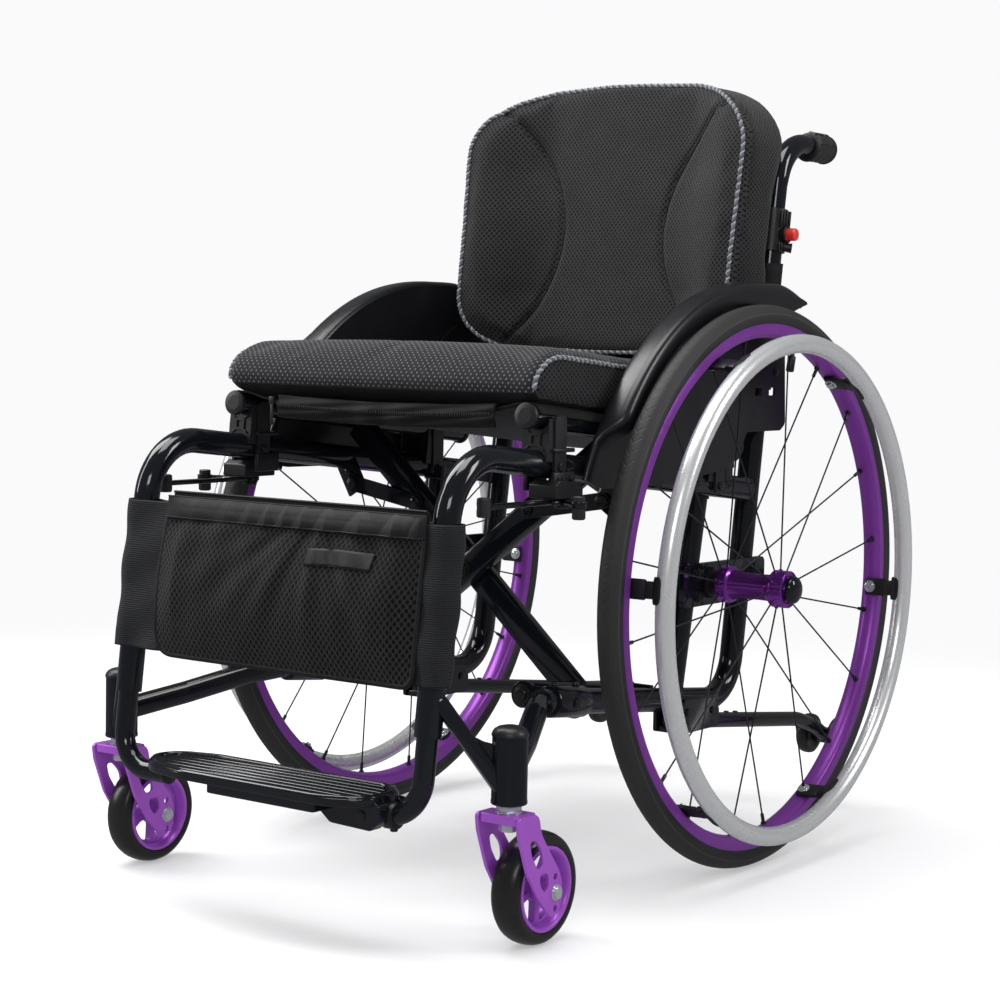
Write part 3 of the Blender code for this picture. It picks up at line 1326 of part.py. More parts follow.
def seat_cushion():
    """A wedge with a crowned top, a soft front edge and drawn-in sides."""
    middle_y = (SEAT_CUSHION_FRONT_Y + SEAT_CUSHION_REAR_Y) / 2
    half_y = (SEAT_CUSHION_REAR_Y - SEAT_CUSHION_FRONT_Y) / 2

    def form(u, v, w):
        across, along = squircle(u, v, 14)
        y = middle_y + along * half_y
        top = SEAT_CUSHION_TOP_Z + SEAT_CUSHION_TOP_SLOPE * y
        bottom = seat_z(y) + SEAT_TUBE_RADIUS + SHEET + 2 * SHEET_GAP
        crown = SEAT_CROWN * (1 - u * u) * (1 - v * v)
        edge = SEAT_EDGE * (abs(u) ** 12 + max(0.0, -v) ** 10)
        height = top - bottom + (crown - edge if w > 0 else 0)
        draw = 1 - SEAT_DRAW * w * w
        z = bottom + height * (w + 1) / 2
        return at(across * SEAT_CUSHION_X * draw, middle_y + along * half_y * draw, z)

    body = cushion_cage(
        (-0.93, -0.60, 0, 0.60, 0.93), (-0.92, -0.55, 0.2, 0.93), (-0.6, 0.6), form)
    finish("seat_cushion", body, fabric, sharp=60)


def back_cushion():
    """A tall cushion whose side bolsters slope in to a recessed middle panel."""
    half_z = (BACK_CUSHION_TOP_Z - BACK_CUSHION_BOTTOM_Z) / 2
    middle_z = (BACK_CUSHION_TOP_Z + BACK_CUSHION_BOTTOM_Z) / 2
    front = BACK_CUSHION_FRONT_Y + CANE_LEAN * (middle_z - BACK_CUSHION_FRONT_Z)
    rear = cane_y(middle_z) - TUBE_RADIUS / math.cos(RECLINE) - SHEET - 2 * SHEET_GAP
    middle_y = (front + rear) / 2
    half_y = (rear - front) / 2

    def form(u, v, w):
        seam = SEAM_MIDDLE + SEAM_SPREAD * (w - SEAM_LOW) ** 2
        size = abs(u)
        if size <= SEAM:
            placed = seam * size / SEAM
            share = 1 - PANEL_PUFF * (1 - (size / SEAM) ** 2)
        else:
            beyond = (size - SEAM) / (1 - SEAM)
            placed = seam + (1 - seam) * beyond
            share = 1 - beyond - BOLSTER_PUFF * math.sin(math.pi * beyond)
        recess = RECESS * max(0.0, 1 - (w / RECESS_REACH) ** 2) ** RECESS_POWER
        across, up = squircle(math.copysign(placed, u), w, BACK_POWER)
        y = middle_y + v * half_y
        if v < 0:
            y += -v * (recess * share + BACK_EDGE * max(size, abs(w)) ** 8)
        draw = 1 - BACK_DRAW * v * v
        z = middle_z + up * half_z * draw
        return at(across * BACK_CUSHION_X * draw, y + CANE_LEAN * (z - middle_z), z)

    body = cushion_cage(
        (-0.93, -0.62, -SEAM, -0.38, 0, 0.38, SEAM, 0.62, 0.93), (0,),
        (-0.90, -0.55, -0.15, 0.20, 0.55, 0.90), form)
    finish("back_cushion", body, fabric, sharp=60)


# Hanging cloth
def cloth(rows, form, name):
    """A sheet from a grid shaped by a function, thickened both ways."""
    sheet = bmesh.new()
    bmesh.ops.create_grid(sheet, x_segments=CLOTH_COLUMNS, y_segments=rows, size=1)
    for vert in sheet.verts:
        vert.co = form((vert.co.x + 1) / 2, (vert.co.y + 1) / 2)
    mesh = bpy.data.meshes.new("cloth")
    sheet.to_mesh(mesh)
    sheet.free()
    made = link_shape(mesh)
    thick = made.modifiers.new("thickness", "SOLIDIFY")
    thick.thickness = SHEET
    thick.offset = 0
    thick.use_even_offset = True
    finish(name, bake(made), fabric, sharp=60)


def wrap(share, x_tube, radius, wrap_start, wrap_end):
    """A path round one tube, straight across and round the other.

    Returns X and the distance from the tubes' plane. Each wrap takes a quarter of the
    columns, and its corners lie outside the radius so that its facets touch it.
    """
    side = 1 if share < 0.5 else -1
    run = min(share, 1 - share)
    swell = 1 / math.cos((wrap_end - wrap_start) / (CLOTH_COLUMNS / 4) / 2)
    if run < 0.25:
        angle = wrap_start + (wrap_end - wrap_start) * run / 0.25
        reach = radius * swell
        return side * (x_tube + reach * math.cos(angle)), reach * math.sin(angle)
    edge_x = x_tube + radius * swell * math.cos(wrap_end)
    return side * edge_x * (1 - (run - 0.25) / 0.25), radius * swell * math.sin(wrap_end)


def seat_sling():
    """Cloth over both seat tubes, sagging between them."""
    radius = SEAT_TUBE_RADIUS + SHEET / 2 + SHEET_GAP
    start_y = SEAT_FRONT_Y + SLING_MARGIN
    end_y = SEAT_REAR_Y - SLING_MARGIN

    def form(share, along):
        x, up = wrap(share, SEAT_X, radius, math.radians(14), math.radians(104))
        y = start_y + (end_y - start_y) * along
        fall = max(0.0, 1 - (x / (SEAT_X - radius)) ** 2)
        return at(x, y, seat_z(y) + up - SLING_SAG * fall)

    cloth(4, form, "seat_sling")


def back_sling():
    """Cloth round the canes, behind the back cushion."""
    radius = TUBE_RADIUS + SHEET / 2 + SHEET_GAP

    def form(share, rise):
        x, forward = wrap(share, FRAME_X, radius, math.radians(-40), math.radians(104))
        z = BACK_SLING_BOTTOM_Z + (BACK_SLING_TOP_Z - BACK_SLING_BOTTOM_Z) * rise
        return at(x, cane_y(z) - forward / math.cos(RECLINE), z)

    cloth(2, form, "back_sling")


def calf_strap():
    """Sleeves round the front tubes and a panel with a bulging pocket between them."""
    radius = TUBE_RADIUS + SHEET / 2 + SHEET_GAP

    def form(share, rise):
        x, forward = wrap(share, RAIL_X, radius, math.radians(-100), math.radians(100))
        between = max(0.0, 1 - (x / (RAIL_X - radius)) ** 8)
        z = STRAP_BOTTOM_Z + (STRAP_TOP_Z - STRAP_BOTTOM_Z + STRAP_RISE * between) * rise
        inward = max(0.0, 1 - (x / (RAIL_X - radius)) ** 2)
        belly = STRAP_BULGE * math.sin(math.pi * min(1.0, rise * STRAP_BELLY)) * inward
        fold = STRAP_FOLD * math.cos(3 * math.pi * x / RAIL_X) * inward * (1 - rise)
        return at(x, front_y(z) - forward - belly - fold + STRAP_LEAN * inward * rise, z)

    cloth(6, form, "calf_strap")


def build():
    """Every part of the chair."""
    for made in list(bpy.data.objects):
        bpy.data.objects.remove(made)
    bpy.context.scene.collection.children.link(PARTS)
    bpy.context.scene.collection.children.link(CUTTERS)
    for side, name in ((1, "left"), (-1, "right")):
        side_frame(side, name)
        brace_link(side, name)
        seat_tube(side, name)
        saddle(side, FRONT_SADDLE_Y, name + "_front_saddle")
        saddle(side, REAR_SADDLE_Y, name + "_rear_saddle")
        axle_plate(side, name)
        rear_tyre(side, name)
        rear_rim(side, name)
        rear_hub(side, name)
        handrim(side, name)
        axle_pin(side, name)
        caster_mount(side, name)
        caster_fork(side, name)
        caster_wheel(side, name)
        caster_tyre(side, name)
        footrest_tube(side, name)
        anti_tipper(side, name)
        anti_tip_wheels(side, name)
        brake_body(side, name)
        brake_lever(side, name)
        side_guard(side, name)
        push_handle(side, name)
        handle_grip(side, name)
        height_clamp(side, name)
        height_button(side, name)
    cross_bar(-1, "cross_bar_rear")
    cross_bar(1, "cross_bar_front")
    brace_bolt()
    foot_hinge()
    footplate()
    seat_sling()
    seat_cushion()
    back_sling()
    back_cushion()
    calf_strap()


build()
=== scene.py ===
# %% [markdown]
# A folding sports wheelchair, dressed for a studio picture.
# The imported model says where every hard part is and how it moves. This notebook builds a
# finer version of each visible piece in the same place, gives it a finish, and lets it ride
# on the body of the model that it belongs to.
# %% Load the frame
import math

import bmesh
import bpy
from mathutils import Matrix, Vector
from mathutils.bvhtree import BVHTree
from mathutils.kdtree import KDTree


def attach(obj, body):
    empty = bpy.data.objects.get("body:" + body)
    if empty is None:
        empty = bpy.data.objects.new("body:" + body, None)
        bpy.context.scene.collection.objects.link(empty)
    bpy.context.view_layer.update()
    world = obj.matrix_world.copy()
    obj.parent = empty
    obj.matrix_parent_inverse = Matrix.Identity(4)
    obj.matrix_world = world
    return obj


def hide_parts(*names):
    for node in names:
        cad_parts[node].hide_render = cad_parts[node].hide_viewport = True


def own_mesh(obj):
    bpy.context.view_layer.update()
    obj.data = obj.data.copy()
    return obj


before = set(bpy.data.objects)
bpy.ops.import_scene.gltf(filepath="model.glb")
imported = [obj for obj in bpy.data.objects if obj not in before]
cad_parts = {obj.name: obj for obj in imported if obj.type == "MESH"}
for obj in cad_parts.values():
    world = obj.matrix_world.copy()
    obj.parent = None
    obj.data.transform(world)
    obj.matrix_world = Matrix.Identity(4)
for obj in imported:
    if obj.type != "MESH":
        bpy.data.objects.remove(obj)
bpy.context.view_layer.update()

# %% [markdown]
# All lengths are metres. Y is easier to think of as a distance from the rear axle, which is
# how such a chair is measured, so one helper shifts it to the model's own middle.
# %% Places
AXLE_Y = 0.10075
AXLE_Z = 0.296
SIDES = ((1, "left"), (-1, "right"))


def at(x, y, z):
    """A point whose Y is counted from the rear axle."""
    return Vector((x, y + AXLE_Y, z))


FOLD_SLOPE = math.atan(-0.105)
FOLD_Y, FOLD_Z = -0.172, 0.307
FOLD = Matrix.Translation((0, AXLE_Y + FOLD_Y, FOLD_Z)) @ Matrix.Rotation(FOLD_SLOPE, 4, "X")
FOLD_AXIS = FOLD.to_3x3() @ Vector((0, 1, 0))
UP = Vector((0, 0, 1))
RIGHTWARD = Vector((1, 0, 0))


def in_fold(across, along, up):
    """A point in the tilted frame of the cross brace, from the middle of its bolt."""
    return FOLD @ Vector((across, along, up))


RAIL_LEVEL, SEAT_LEVEL, LOWER_LEVEL = 0.4004, 0.4442, 0.1677
RAIL_SLOPE, LOWER_SLOPE = 0.105, 0.115
FRONT_FOOT, FRONT_LEAN = -0.5101, 0.1207
CANE_FOOT, CANE_LEAN = 0.0536, 0.141
UPRIGHT_FOOT, UPRIGHT_LEAN = -0.0696, 0.155


def rail_z(y):
    """Height of the top rail's centre line."""
    return RAIL_LEVEL - RAIL_SLOPE * y


def seat_z(y):
    """Height of a seat tube's centre line."""
    return SEAT_LEVEL - RAIL_SLOPE * y


def lower_z(y):
    """Height of the lower side tube's centre line."""
    return LOWER_LEVEL - LOWER_SLOPE * y


def front_y(z):
    """Place of the front tube's centre line."""
    return FRONT_FOOT + FRONT_LEAN * z


def cane_y(z):
    """Place of the back cane's centre line."""
    return CANE_FOOT + CANE_LEAN * z


def upright_y(z):
    """Place of the second upright's centre line."""
    return UPRIGHT_FOOT + UPRIGHT_LEAN * z


def meeting_y(foot, lean, level, slope):
    """Where a leaning tube meets a sloping one."""
    return (foot + lean * level) / (1 + lean * slope)


# %% [markdown]
# Blender's shader maths is a tree of Math nodes, which is slow to read. A small class wraps
# one socket, so that an ordinary Python expression adds the nodes for us.
# %% Shader maths
class Value:
    """One number that changes over a surface, usable in a Python expression."""

    def __init__(self, shader, socket):
        self.shader = shader
        self.socket = socket

    def __add__(self, other):
        return self.shader.maths("ADD", self, other)

    def __sub__(self, other):
        return self.shader.maths("SUBTRACT", self, other)

    def __rsub__(self, other):
        return self.shader.maths("SUBTRACT", other, self)

    def __mul__(self, other):
        return self.shader.maths("MULTIPLY", self, other)

    def __truediv__(self, other):
        return self.shader.maths("DIVIDE", self, other)

    __radd__ = __add__
    __rmul__ = __mul__

    def floor(self):
        return self.shader.maths("FLOOR", self)

    def fract(self):
        return self.shader.maths("FRACT", self)

    def root(self):
        return self.shader.maths("SQRT", self)

    def size(self):
        return self.shader.maths("ABSOLUTE", self)

    def wave(self):
        return self.shader.maths("SINE", self)

    def step(self, low, high):
        """0 below low, 1 above high and a smooth rise between them."""
        return self.shader.node(
            "ShaderNodeMapRange", {"interpolation_type": "SMOOTHSTEP"},
            {"Value": self, "From Min": low, "From Max": high})


class Shader:
    """A Principled material that is put together by expressions."""

    def __init__(self, name, colour, roughness, metallic=0.0, **more):
        self.material = bpy.data.materials.new(name)
        self.material.use_nodes = True
        self.tree = self.material.node_tree
        self.surface = self.tree.nodes["Principled BSDF"]
        self.feed(self.surface.inputs["Base Color"], colour)
        self.feed(self.surface.inputs["Roughness"], roughness)
        self.feed(self.surface.inputs["Metallic"], metallic)
        for words, value in more.items():
            self.feed(self.surface.inputs[words.replace("_", " ").title()], value)

    def feed(self, socket, item):
        """Link a value to a socket, or set a plain number or colour on it."""
        if isinstance(item, Value):
            self.tree.links.new(item.socket, socket)
        elif isinstance(item, tuple) and len(item) == 3 and len(socket.default_value) == 4:
            socket.default_value = (*item, 1)
        else:
            socket.default_value = item

    def node(self, kind, settings, inputs, output=0):
        """Any node: its settings first, then its sockets."""
        made = self.tree.nodes.new(kind)
        for word, setting in settings.items():
            setattr(made, word, setting)
        for socket, item in inputs.items():
            self.feed(made.inputs[socket], item)
        return Value(self, made.outputs[output])

    def maths(self, operation, *items):
        return self.node("ShaderNodeMath", {"operation": operation}, dict(enumerate(items)))

    def place(self):
        """The object coordinates, which are the chair's own metres."""
        return self.node("ShaderNodeTexCoord", {}, {}, "Object")

    def axes(self):
        """The place as three numbers."""
        point = self.place()
        return [self.node("ShaderNodeSeparateXYZ", {}, {"Vector": point}, index) for index in range(3)]

    def grain(self, scale, detail=2.0, point=None):
        """Soft random values from 0 to 1."""
        inputs = {"Vector": point or self.place(), "Scale": scale, "Detail": detail}
        return self.node("ShaderNodeTexNoise", {}, inputs, "Fac")

    def blend(self, share, first, second):
        """A colour between two others."""
        return self.node(
            "ShaderNodeMix", {"data_type": "RGBA"}, {0: share, 6: first, 7: second}, 2)

    def colour(self, item):
        self.feed(self.surface.inputs["Base Color"], item)

    def rough(self, item):
        self.feed(self.surface.inputs["Roughness"], item)

    def relief(self, height, depth, strength=1.0):
        """Raise the surface by a height from 0 to 1 times a depth in metres."""
        bump = self.node(
            "ShaderNodeBump", {}, {"Height": height, "Distance": depth, "Strength": strength})
        self.feed(self.surface.inputs["Normal"], bump)


# %% [markdown]
# The frame is powder coated in gloss black: nearly black, with a clear layer on top, a faint
# orange peel that bends the reflections, and a little dust that dulls them here and there.
# %% Hard finishes
def gloss_paint(name):
    """Black paint under a clear coat."""
    made = Shader(name, (0.004, 0.005, 0.007), 0.12)
    made.rough(0.05 + 0.09 * made.grain(22.0, 4.0))
    made.colour(made.blend(made.grain(9.0, 3.0), (0.0025, 0.0028, 0.0040), (0.0060, 0.0070, 0.0100)))
    made.relief(made.grain(420.0), 0.00004, 0.3)
    return made.material


def anodised(name, dark, light, metallic=0.45, roughness=0.26):
    """Dyed aluminium: the metal's own sheen in the dye's colour, with fine turning marks."""
    made = Shader(name, light, 0.3, metallic)
    made.colour(made.blend(made.grain(14.0, 3.0), dark, light))
    made.rough(roughness + 0.12 * made.grain(60.0, 3.0))
    _, y, z = made.axes()
    span = y - AXLE_Y
    rise = z - AXLE_Z
    radius = (span * span + rise * rise).root()
    made.relief((radius * 2600.0).wave() * 0.5 + made.grain(900.0), 0.00002, 0.25)
    return made.material


def satin_metal(name, colour, roughness, metallic=0.8):
    """Bare brushed metal."""
    made = Shader(name, colour, roughness, metallic)
    brushed = made.grain(700.0, 3.0)
    made.rough(roughness + 0.10 * (made.grain(30.0, 3.0) - 0.5))
    made.relief(brushed, 0.00002, 0.1)
    return made.material


def moulded(name, dark, light, roughness, grain_scale=1100.0):
    """Moulded plastic or rubber with a fine leathery grain."""
    made = Shader(name, light, roughness)
    made.colour(made.blend(made.grain(16.0, 4.0), dark, light))
    made.rough(roughness - 0.06 + 0.12 * made.grain(45.0, 3.0))
    made.relief(made.grain(grain_scale), 0.00008, 0.4)
    return made.material


PAINT = gloss_paint("gloss_black_paint")
PURPLE = anodised("purple_anodised", (0.180, 0.032, 0.290), (0.250, 0.050, 0.390))
HUB_PURPLE = anodised("hub_purple_anodised", (0.260, 0.050, 0.430), (0.380, 0.085, 0.580), 0.9, 0.14)
FORK_PURPLE = anodised("fork_purple_anodised", (0.290, 0.066, 0.460), (0.400, 0.110, 0.600), 0.35)
SILVER = satin_metal("satin_aluminium", (0.78, 0.79, 0.80), 0.27, 0.72)
ZINC = satin_metal("zinc_steel", (0.66, 0.69, 0.72), 0.20)
BLACK_STEEL = satin_metal("black_steel", (0.012, 0.012, 0.013), 0.26, 0.3)
PLASTIC = moulded("black_plastic", (0.004, 0.004, 0.005), (0.009, 0.009, 0.011), 0.40)
GUARD_PLASTIC = moulded("guard_plastic", (0.0030, 0.0033, 0.0045), (0.0062, 0.0066, 0.0085), 0.30)
GRIP_RUBBER = moulded("grip_rubber", (0.008, 0.008, 0.009), (0.016, 0.016, 0.017), 0.45)
CASTER_RUBBER = moulded("caster_rubber", (0.005, 0.005, 0.005), (0.011, 0.011, 0.011), 0.30)
RED = moulded("red_plastic", (0.50, 0.018, 0.012), (0.66, 0.035, 0.022), 0.36)
GLOSS_CAP = gloss_paint("gloss_cap")

# %% [markdown]
# A tyre is matt rubber. Fine ribs run round its tread and dust settles on it. The pattern
# has to follow the wheel, so it is written with the distance from the axle.
# %% Tyre rubber
TREAD_RIBS = 3900.0
SIPE_COUNT = 150


def tyre_rubber(name, side):
    made = Shader(name, (0.030, 0.030, 0.031), 0.7)
    x, y, z = made.axes()
    span = y - AXLE_Y
    rise = z - AXLE_Z
    across = (x - side * 0.247).size()
    turn = made.maths("ARCTAN2", rise, span)
    on_tread = 1 - across.step(0.0062, 0.0075)
    ribs = (across * TREAD_RIBS).wave()
    sipes = ((turn * (SIPE_COUNT / (2 * math.pi)) + across * 90.0).fract() - 0.5).size().step(0.06, 0.14)
    made.relief(on_tread * (ribs * 0.25 + sipes) + made.grain(600.0) * 0.2, 0.0003, 0.7)
    dust = made.grain(11.0, 4.0)
    radius = (span * span + rise * rise).root()
    band = (radius - 0.2866).size().step(0.0, 0.0009)
    worn = made.blend(dust, (0.009, 0.009, 0.010), (0.019, 0.019, 0.020))
    made.colour(made.blend(band, (0.036, 0.036, 0.038), worn))
    made.rough(0.5 + 0.2 * dust)
    return made.material


# %% [markdown]
# Next come the shapes. Each helper starts a bmesh from an operator and adds one closed
# shell to it. A tube is a circle that is extruded along a path; the circle is carried from
# place to place without twisting.
# %% Tubes and rounded corners
def rounded(points, bend, steps=10):
    """Corner points replaced by arcs of the bend radius."""
    places = [points[0]]
    for before, corner, after in zip(points, points[1:], points[2:]):
        back = (before - corner).normalized()
        ahead = (after - corner).normalized()
        half = back.angle(ahead) / 2
        centre = corner + (back + ahead).normalized() * bend / math.sin(half)
        spoke = corner + back * bend / math.tan(half) - centre
        axis = spoke.cross(corner + ahead * bend / math.tan(half) - centre)
        turn = math.pi - 2 * half
        for step in range(steps + 1):
            places.append(centre + Matrix.Rotation(turn * step / steps, 3, axis) @ spoke)
    places.append(points[-1])
    return places


def carriers(path, closed):
    """A matrix at each place of a path, with Z along it, turned as little as possible."""
    count = len(path)
    runs = []
    for index in range(count):
        ahead = path[(index + 1) % count] if closed or index < count - 1 else path[index]
        back = path[index - 1] if closed or index > 0 else path[index]
        runs.append((ahead - back).normalized())
    turn = runs[0].to_track_quat("Z", "Y")
    made = []
    for index, run in enumerate(runs):
        if index:
            turn = runs[index - 1].rotation_difference(run) @ turn
        made.append(Matrix.Translation(path[index]) @ turn.to_matrix().to_4x4())
    return made


def sweep(mesh, path, radius, sides=24, closed=False, flat=1.0):
    """A round tube along a path. The radius is one number, or a list with one for each place."""
    radii = radius if isinstance(radius, list) else [radius] * len(path)
    matrices = [
        carrier @ Matrix.Diagonal((size, size * flat, 1, 1))
        for carrier, size in zip(carriers(path, closed), radii)]
    ring = bmesh.ops.create_circle(mesh, segments=sides, radius=1, matrix=matrices[0])["verts"]
    edges = list({edge for vert in ring for edge in vert.link_edges})
    first = edges
    for before, after in zip(matrices, matrices[1:]):
        grown = bmesh.ops.extrude_edge_only(mesh, edges=edges)["geom"]
        verts = [item for item in grown if isinstance(item, bmesh.types.BMVert)]
        edges = [item for item in grown if isinstance(item, bmesh.types.BMEdge) and item.is_boundary]
        bmesh.ops.transform(mesh, matrix=after @ before.inverted(), verts=verts)
    if closed:
        bmesh.ops.bridge_loops(mesh, edges=first + edges)
    else:
        bmesh.ops.holes_fill(mesh, edges=first + edges, sides=0)


# %% [markdown]
# Wheels, hubs and caps are turned on a lathe in real life. In a bmesh the same thing is a
# profile of a few vertices that is spun round an axis.
# %% Turned shapes
def lathe(mesh, profile, centre, axis, side=1, steps=64):
    """Turn (radius, distance) pairs about X, Y or Z through the centre."""
    along = {"X": Vector((side, 0, 0)), "Y": Vector((0, side, 0)), "Z": Vector((0, 0, side))}[axis]
    away = UP if axis != "Z" else RIGHTWARD
    verts = [mesh.verts.new(centre + along * reach + away * radius) for radius, reach in profile]
    pairs = list(zip(verts, verts[1:]))
    if profile[0][0] > 1e-6:
        pairs.append((verts[-1], verts[0]))
    edges = [mesh.edges.new(pair) for pair in pairs]
    bmesh.ops.spin(
        mesh, geom=verts + edges, cent=centre, axis=along, angle=2 * math.pi, steps=steps,
        use_merge=True, use_duplicate=False)


def arc(radius, reach, size, start, end, steps):
    """Profile points on a small arc about (radius, reach); 0 degrees points outward."""
    made = []
    for step in range(steps + 1):
        angle = math.radians(start + (end - start) * step / steps)
        made.append((radius + size * math.cos(angle), reach + size * math.sin(angle)))
    return made


# %% [markdown]
# Flat metal is a filled outline that is extruded; blocks and rods start from the cube and
# the cone. A short bevel on every edge catches the light as real edges do.
# %% Plates, blocks and rods
def slab(mesh, outlines, thickness, matrix):
    """Outlines in the XY plane of a matrix, the first with the others as holes, extruded along Z."""
    edges = []
    for outline in outlines:
        verts = [mesh.verts.new(matrix @ Vector((x, y, -thickness / 2))) for x, y in outline]
        edges += [mesh.edges.new(pair) for pair in zip(verts, verts[1:] + verts[:1])]
    filled = bmesh.ops.triangle_fill(mesh, use_beauty=True, use_dissolve=True, edges=edges)["geom"]
    faces = [item for item in filled if isinstance(item, bmesh.types.BMFace)]
    grown = bmesh.ops.extrude_face_region(mesh, geom=faces, use_keep_orig=True)["geom"]
    verts = [item for item in grown if isinstance(item, bmesh.types.BMVert)]
    bmesh.ops.translate(mesh, vec=matrix.to_3x3() @ Vector((0, 0, thickness)), verts=verts)


FACING_X = Matrix(((0, 0, 1, 0), (1, 0, 0, 0), (0, 1, 0, 0), (0, 0, 0, 1)))


def side_plane(x):
    """The plane of a side view at an X, with outlines in Y from the rear axle and Z."""
    return Matrix.Translation((x, AXLE_Y, 0)) @ FACING_X


def round_part(across, up, radius, degrees):
    """Outline points on a circle about (across, up), one for each angle."""
    angles = [math.radians(angle) for angle in degrees]
    return [(across + radius * math.cos(angle), up + radius * math.sin(angle)) for angle in angles]


def disc(across, up, radius, count=20):
    """The outline of a round hole or plate."""
    return round_part(across, up, radius, [360 * index / count for index in range(count)])


def curved(outline, bend, steps=5):
    """A closed outline with rounded corners."""
    made = []
    for index, corner in enumerate(outline):
        corner = Vector(corner)
        before = Vector(outline[index - 1]) - corner
        after = Vector(outline[(index + 1) % len(outline)]) - corner
        reach = bend / math.tan(before.angle(after) / 2)
        reach = min(reach, before.length * 0.46, after.length * 0.46)
        start = corner + before.normalized() * reach
        end = corner + after.normalized() * reach
        for step in range(steps + 1):
            share = step / steps
            point = start * (1 - share) ** 2 + corner * 2 * share * (1 - share) + end * share ** 2
            made.append(tuple(point))
    return made


def oblong(left, low, right, high, bend):
    """A rectangle's outline with rounded corners."""
    return curved([(left, low), (right, low), (right, high), (left, high)], bend)


def soften(mesh, verts, edge, segments=2, sharp=30):
    """Round the sharp edges between some vertices."""
    chosen = set(verts)
    edges = []
    for item in {link for vert in verts for link in vert.link_edges}:
        if item.is_manifold and set(item.verts) <= chosen:
            if item.calc_face_angle(0) > math.radians(sharp):
                edges.append(item)
    bmesh.ops.bevel(
        mesh, geom=edges, offset=edge, segments=segments, affect="EDGES", profile=0.5,
        material=-1, clamp_overlap=True)


def brick(mesh, matrix, edge=0.001):
    """A unit cube placed by a matrix, with rounded edges."""
    verts = bmesh.ops.create_cube(mesh, size=1, matrix=matrix)["verts"]
    soften(mesh, verts, edge)


def block(mesh, low, high, edge=0.001):
    """A box between two corners."""
    low, high = Vector(low), Vector(high)
    size = [abs(a - b) for a, b in zip(low, high)]
    brick(mesh, Matrix.Translation((low + high) / 2) @ Matrix.Diagonal((*size, 1)), edge)


def facing(forward, normal):
    """A rotation with Z along forward and Y close to the normal."""
    third = forward.normalized()
    first = normal.cross(third).normalized()
    return Matrix((first, third.cross(first), third)).transposed().to_4x4()


def beam(mesh, start, end, width, depth, normal, edge=0.001):
    """A flat bar from start to end, with its depth along the normal."""
    run = end - start
    size = Matrix.Diagonal((width, depth, run.length, 1))
    brick(mesh, Matrix.Translation((start + end) / 2) @ facing(run, normal) @ size, edge)


def rod(mesh, start, end, radius, sides=24, edge=0.0006, tip=None):
    """A cylinder or cone from start to end."""
    run = end - start
    matrix = Matrix.Translation((start + end) / 2) @ run.to_track_quat("Z", "Y").to_matrix().to_4x4()
    verts = bmesh.ops.create_cone(
        mesh, cap_ends=True, segments=sides, radius1=radius, radius2=radius if tip is None else tip,
        depth=run.length, matrix=matrix)["verts"]
    if edge:
        soften(mesh, verts, edge, sharp=50)


def screw(mesh, place, axis, radius, height):
    """A round screw head with a six-sided socket in it."""
    axis = axis.normalized()
    rod(mesh, place - axis * 0.001, place + axis * height, radius, 24, min(radius, height) * 0.35)
    top = place + axis * (height + 0.0001)
    turn = axis.to_track_quat("Z", "Y").to_matrix().to_4x4()
    ring = bmesh.ops.create_circle(
        mesh, cap_ends=True, segments=6, radius=radius * 0.5, matrix=Matrix.Translation(top) @ turn)
    face = ring["verts"][0].link_faces[0]
    sunk = bmesh.ops.extrude_discrete_faces(mesh, faces=[face])["faces"]
    bmesh.ops.translate(mesh, vec=axis * -height * 0.5, verts=sunk[0].verts)


# %% [markdown]
# One function finishes a piece: doubles are merged, faces are turned outwards, the mesh
# gets its material, and the object rides on its body and stands for its model nodes.
# %% Finishing a piece
def placed(name, data):
    """A new object in the scene."""
    made = bpy.data.objects.new(name, data)
    bpy.context.scene.collection.objects.link(made)
    return made


def soft_edges(made, width, sharp):
    """A bevel on the edges that are sharper than an angle in degrees."""
    bevel = made.modifiers.new("soft_edges", "BEVEL")
    bevel.width = width
    bevel.segments = 2
    bevel.limit_method = "ANGLE"
    bevel.angle_limit = math.radians(sharp)
    bevel.harden_normals = True


def piece(name, mesh, material, body, replaces=(), edge=0.0, sharp=38):
    """Turn a bmesh into an object of the chair."""
    bmesh.ops.remove_doubles(mesh, verts=mesh.verts, dist=1e-6)
    bmesh.ops.recalc_face_normals(mesh, faces=mesh.faces)
    data = bpy.data.meshes.new(name)
    mesh.to_mesh(data)
    mesh.free()
    data.materials.append(material)
    data.shade_smooth()
    made = placed(name, data)
    if edge:
        soft_edges(made, edge, sharp)
    else:
        data.set_sharp_from_angle(angle=math.radians(sharp))
    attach(made, body)
    if replaces:
        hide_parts(*replaces)
    return made


# %% [markdown]
# The rear tyre is a slim road tyre: a round section with two faint shoulder lines, sitting
# between the hooked lips of the rim. The rim's inner bed is rounded, with a crisp line
# where the bed meets the flat side.
# %% Rear tyres and rims
WHEEL_X = 0.247
TYRE_PROFILE = arc(0.2835, 0, 0.0125, -127, 127, 30) + [(0.2735, 0.0086), (0.2735, -0.0086)]
RIM_PROFILE = [
    (0.2772, 0.0092), (0.2768, 0.0084), (0.2728, 0.0080), (0.2728, -0.0080), (0.2768, -0.0084),
    (0.2772, -0.0092), (0.2768, -0.0100), (0.2752, -0.0105), (0.2664, -0.0105), (0.2652, -0.0099),
    (0.2636, -0.0086), (0.2623, -0.0062), (0.2615, -0.0032), (0.2612, 0), (0.2615, 0.0032),
    (0.2623, 0.0062), (0.2636, 0.0086), (0.2652, 0.0099), (0.2664, 0.0105), (0.2752, 0.0105),
    (0.2768, 0.0100),
]
VALVE_ANGLE = math.radians(76)


def spoked(angle, radius, x=0.0):
    """A point of a wheel, from its centre."""
    return Vector((x, radius * math.cos(angle), radius * math.sin(angle)))


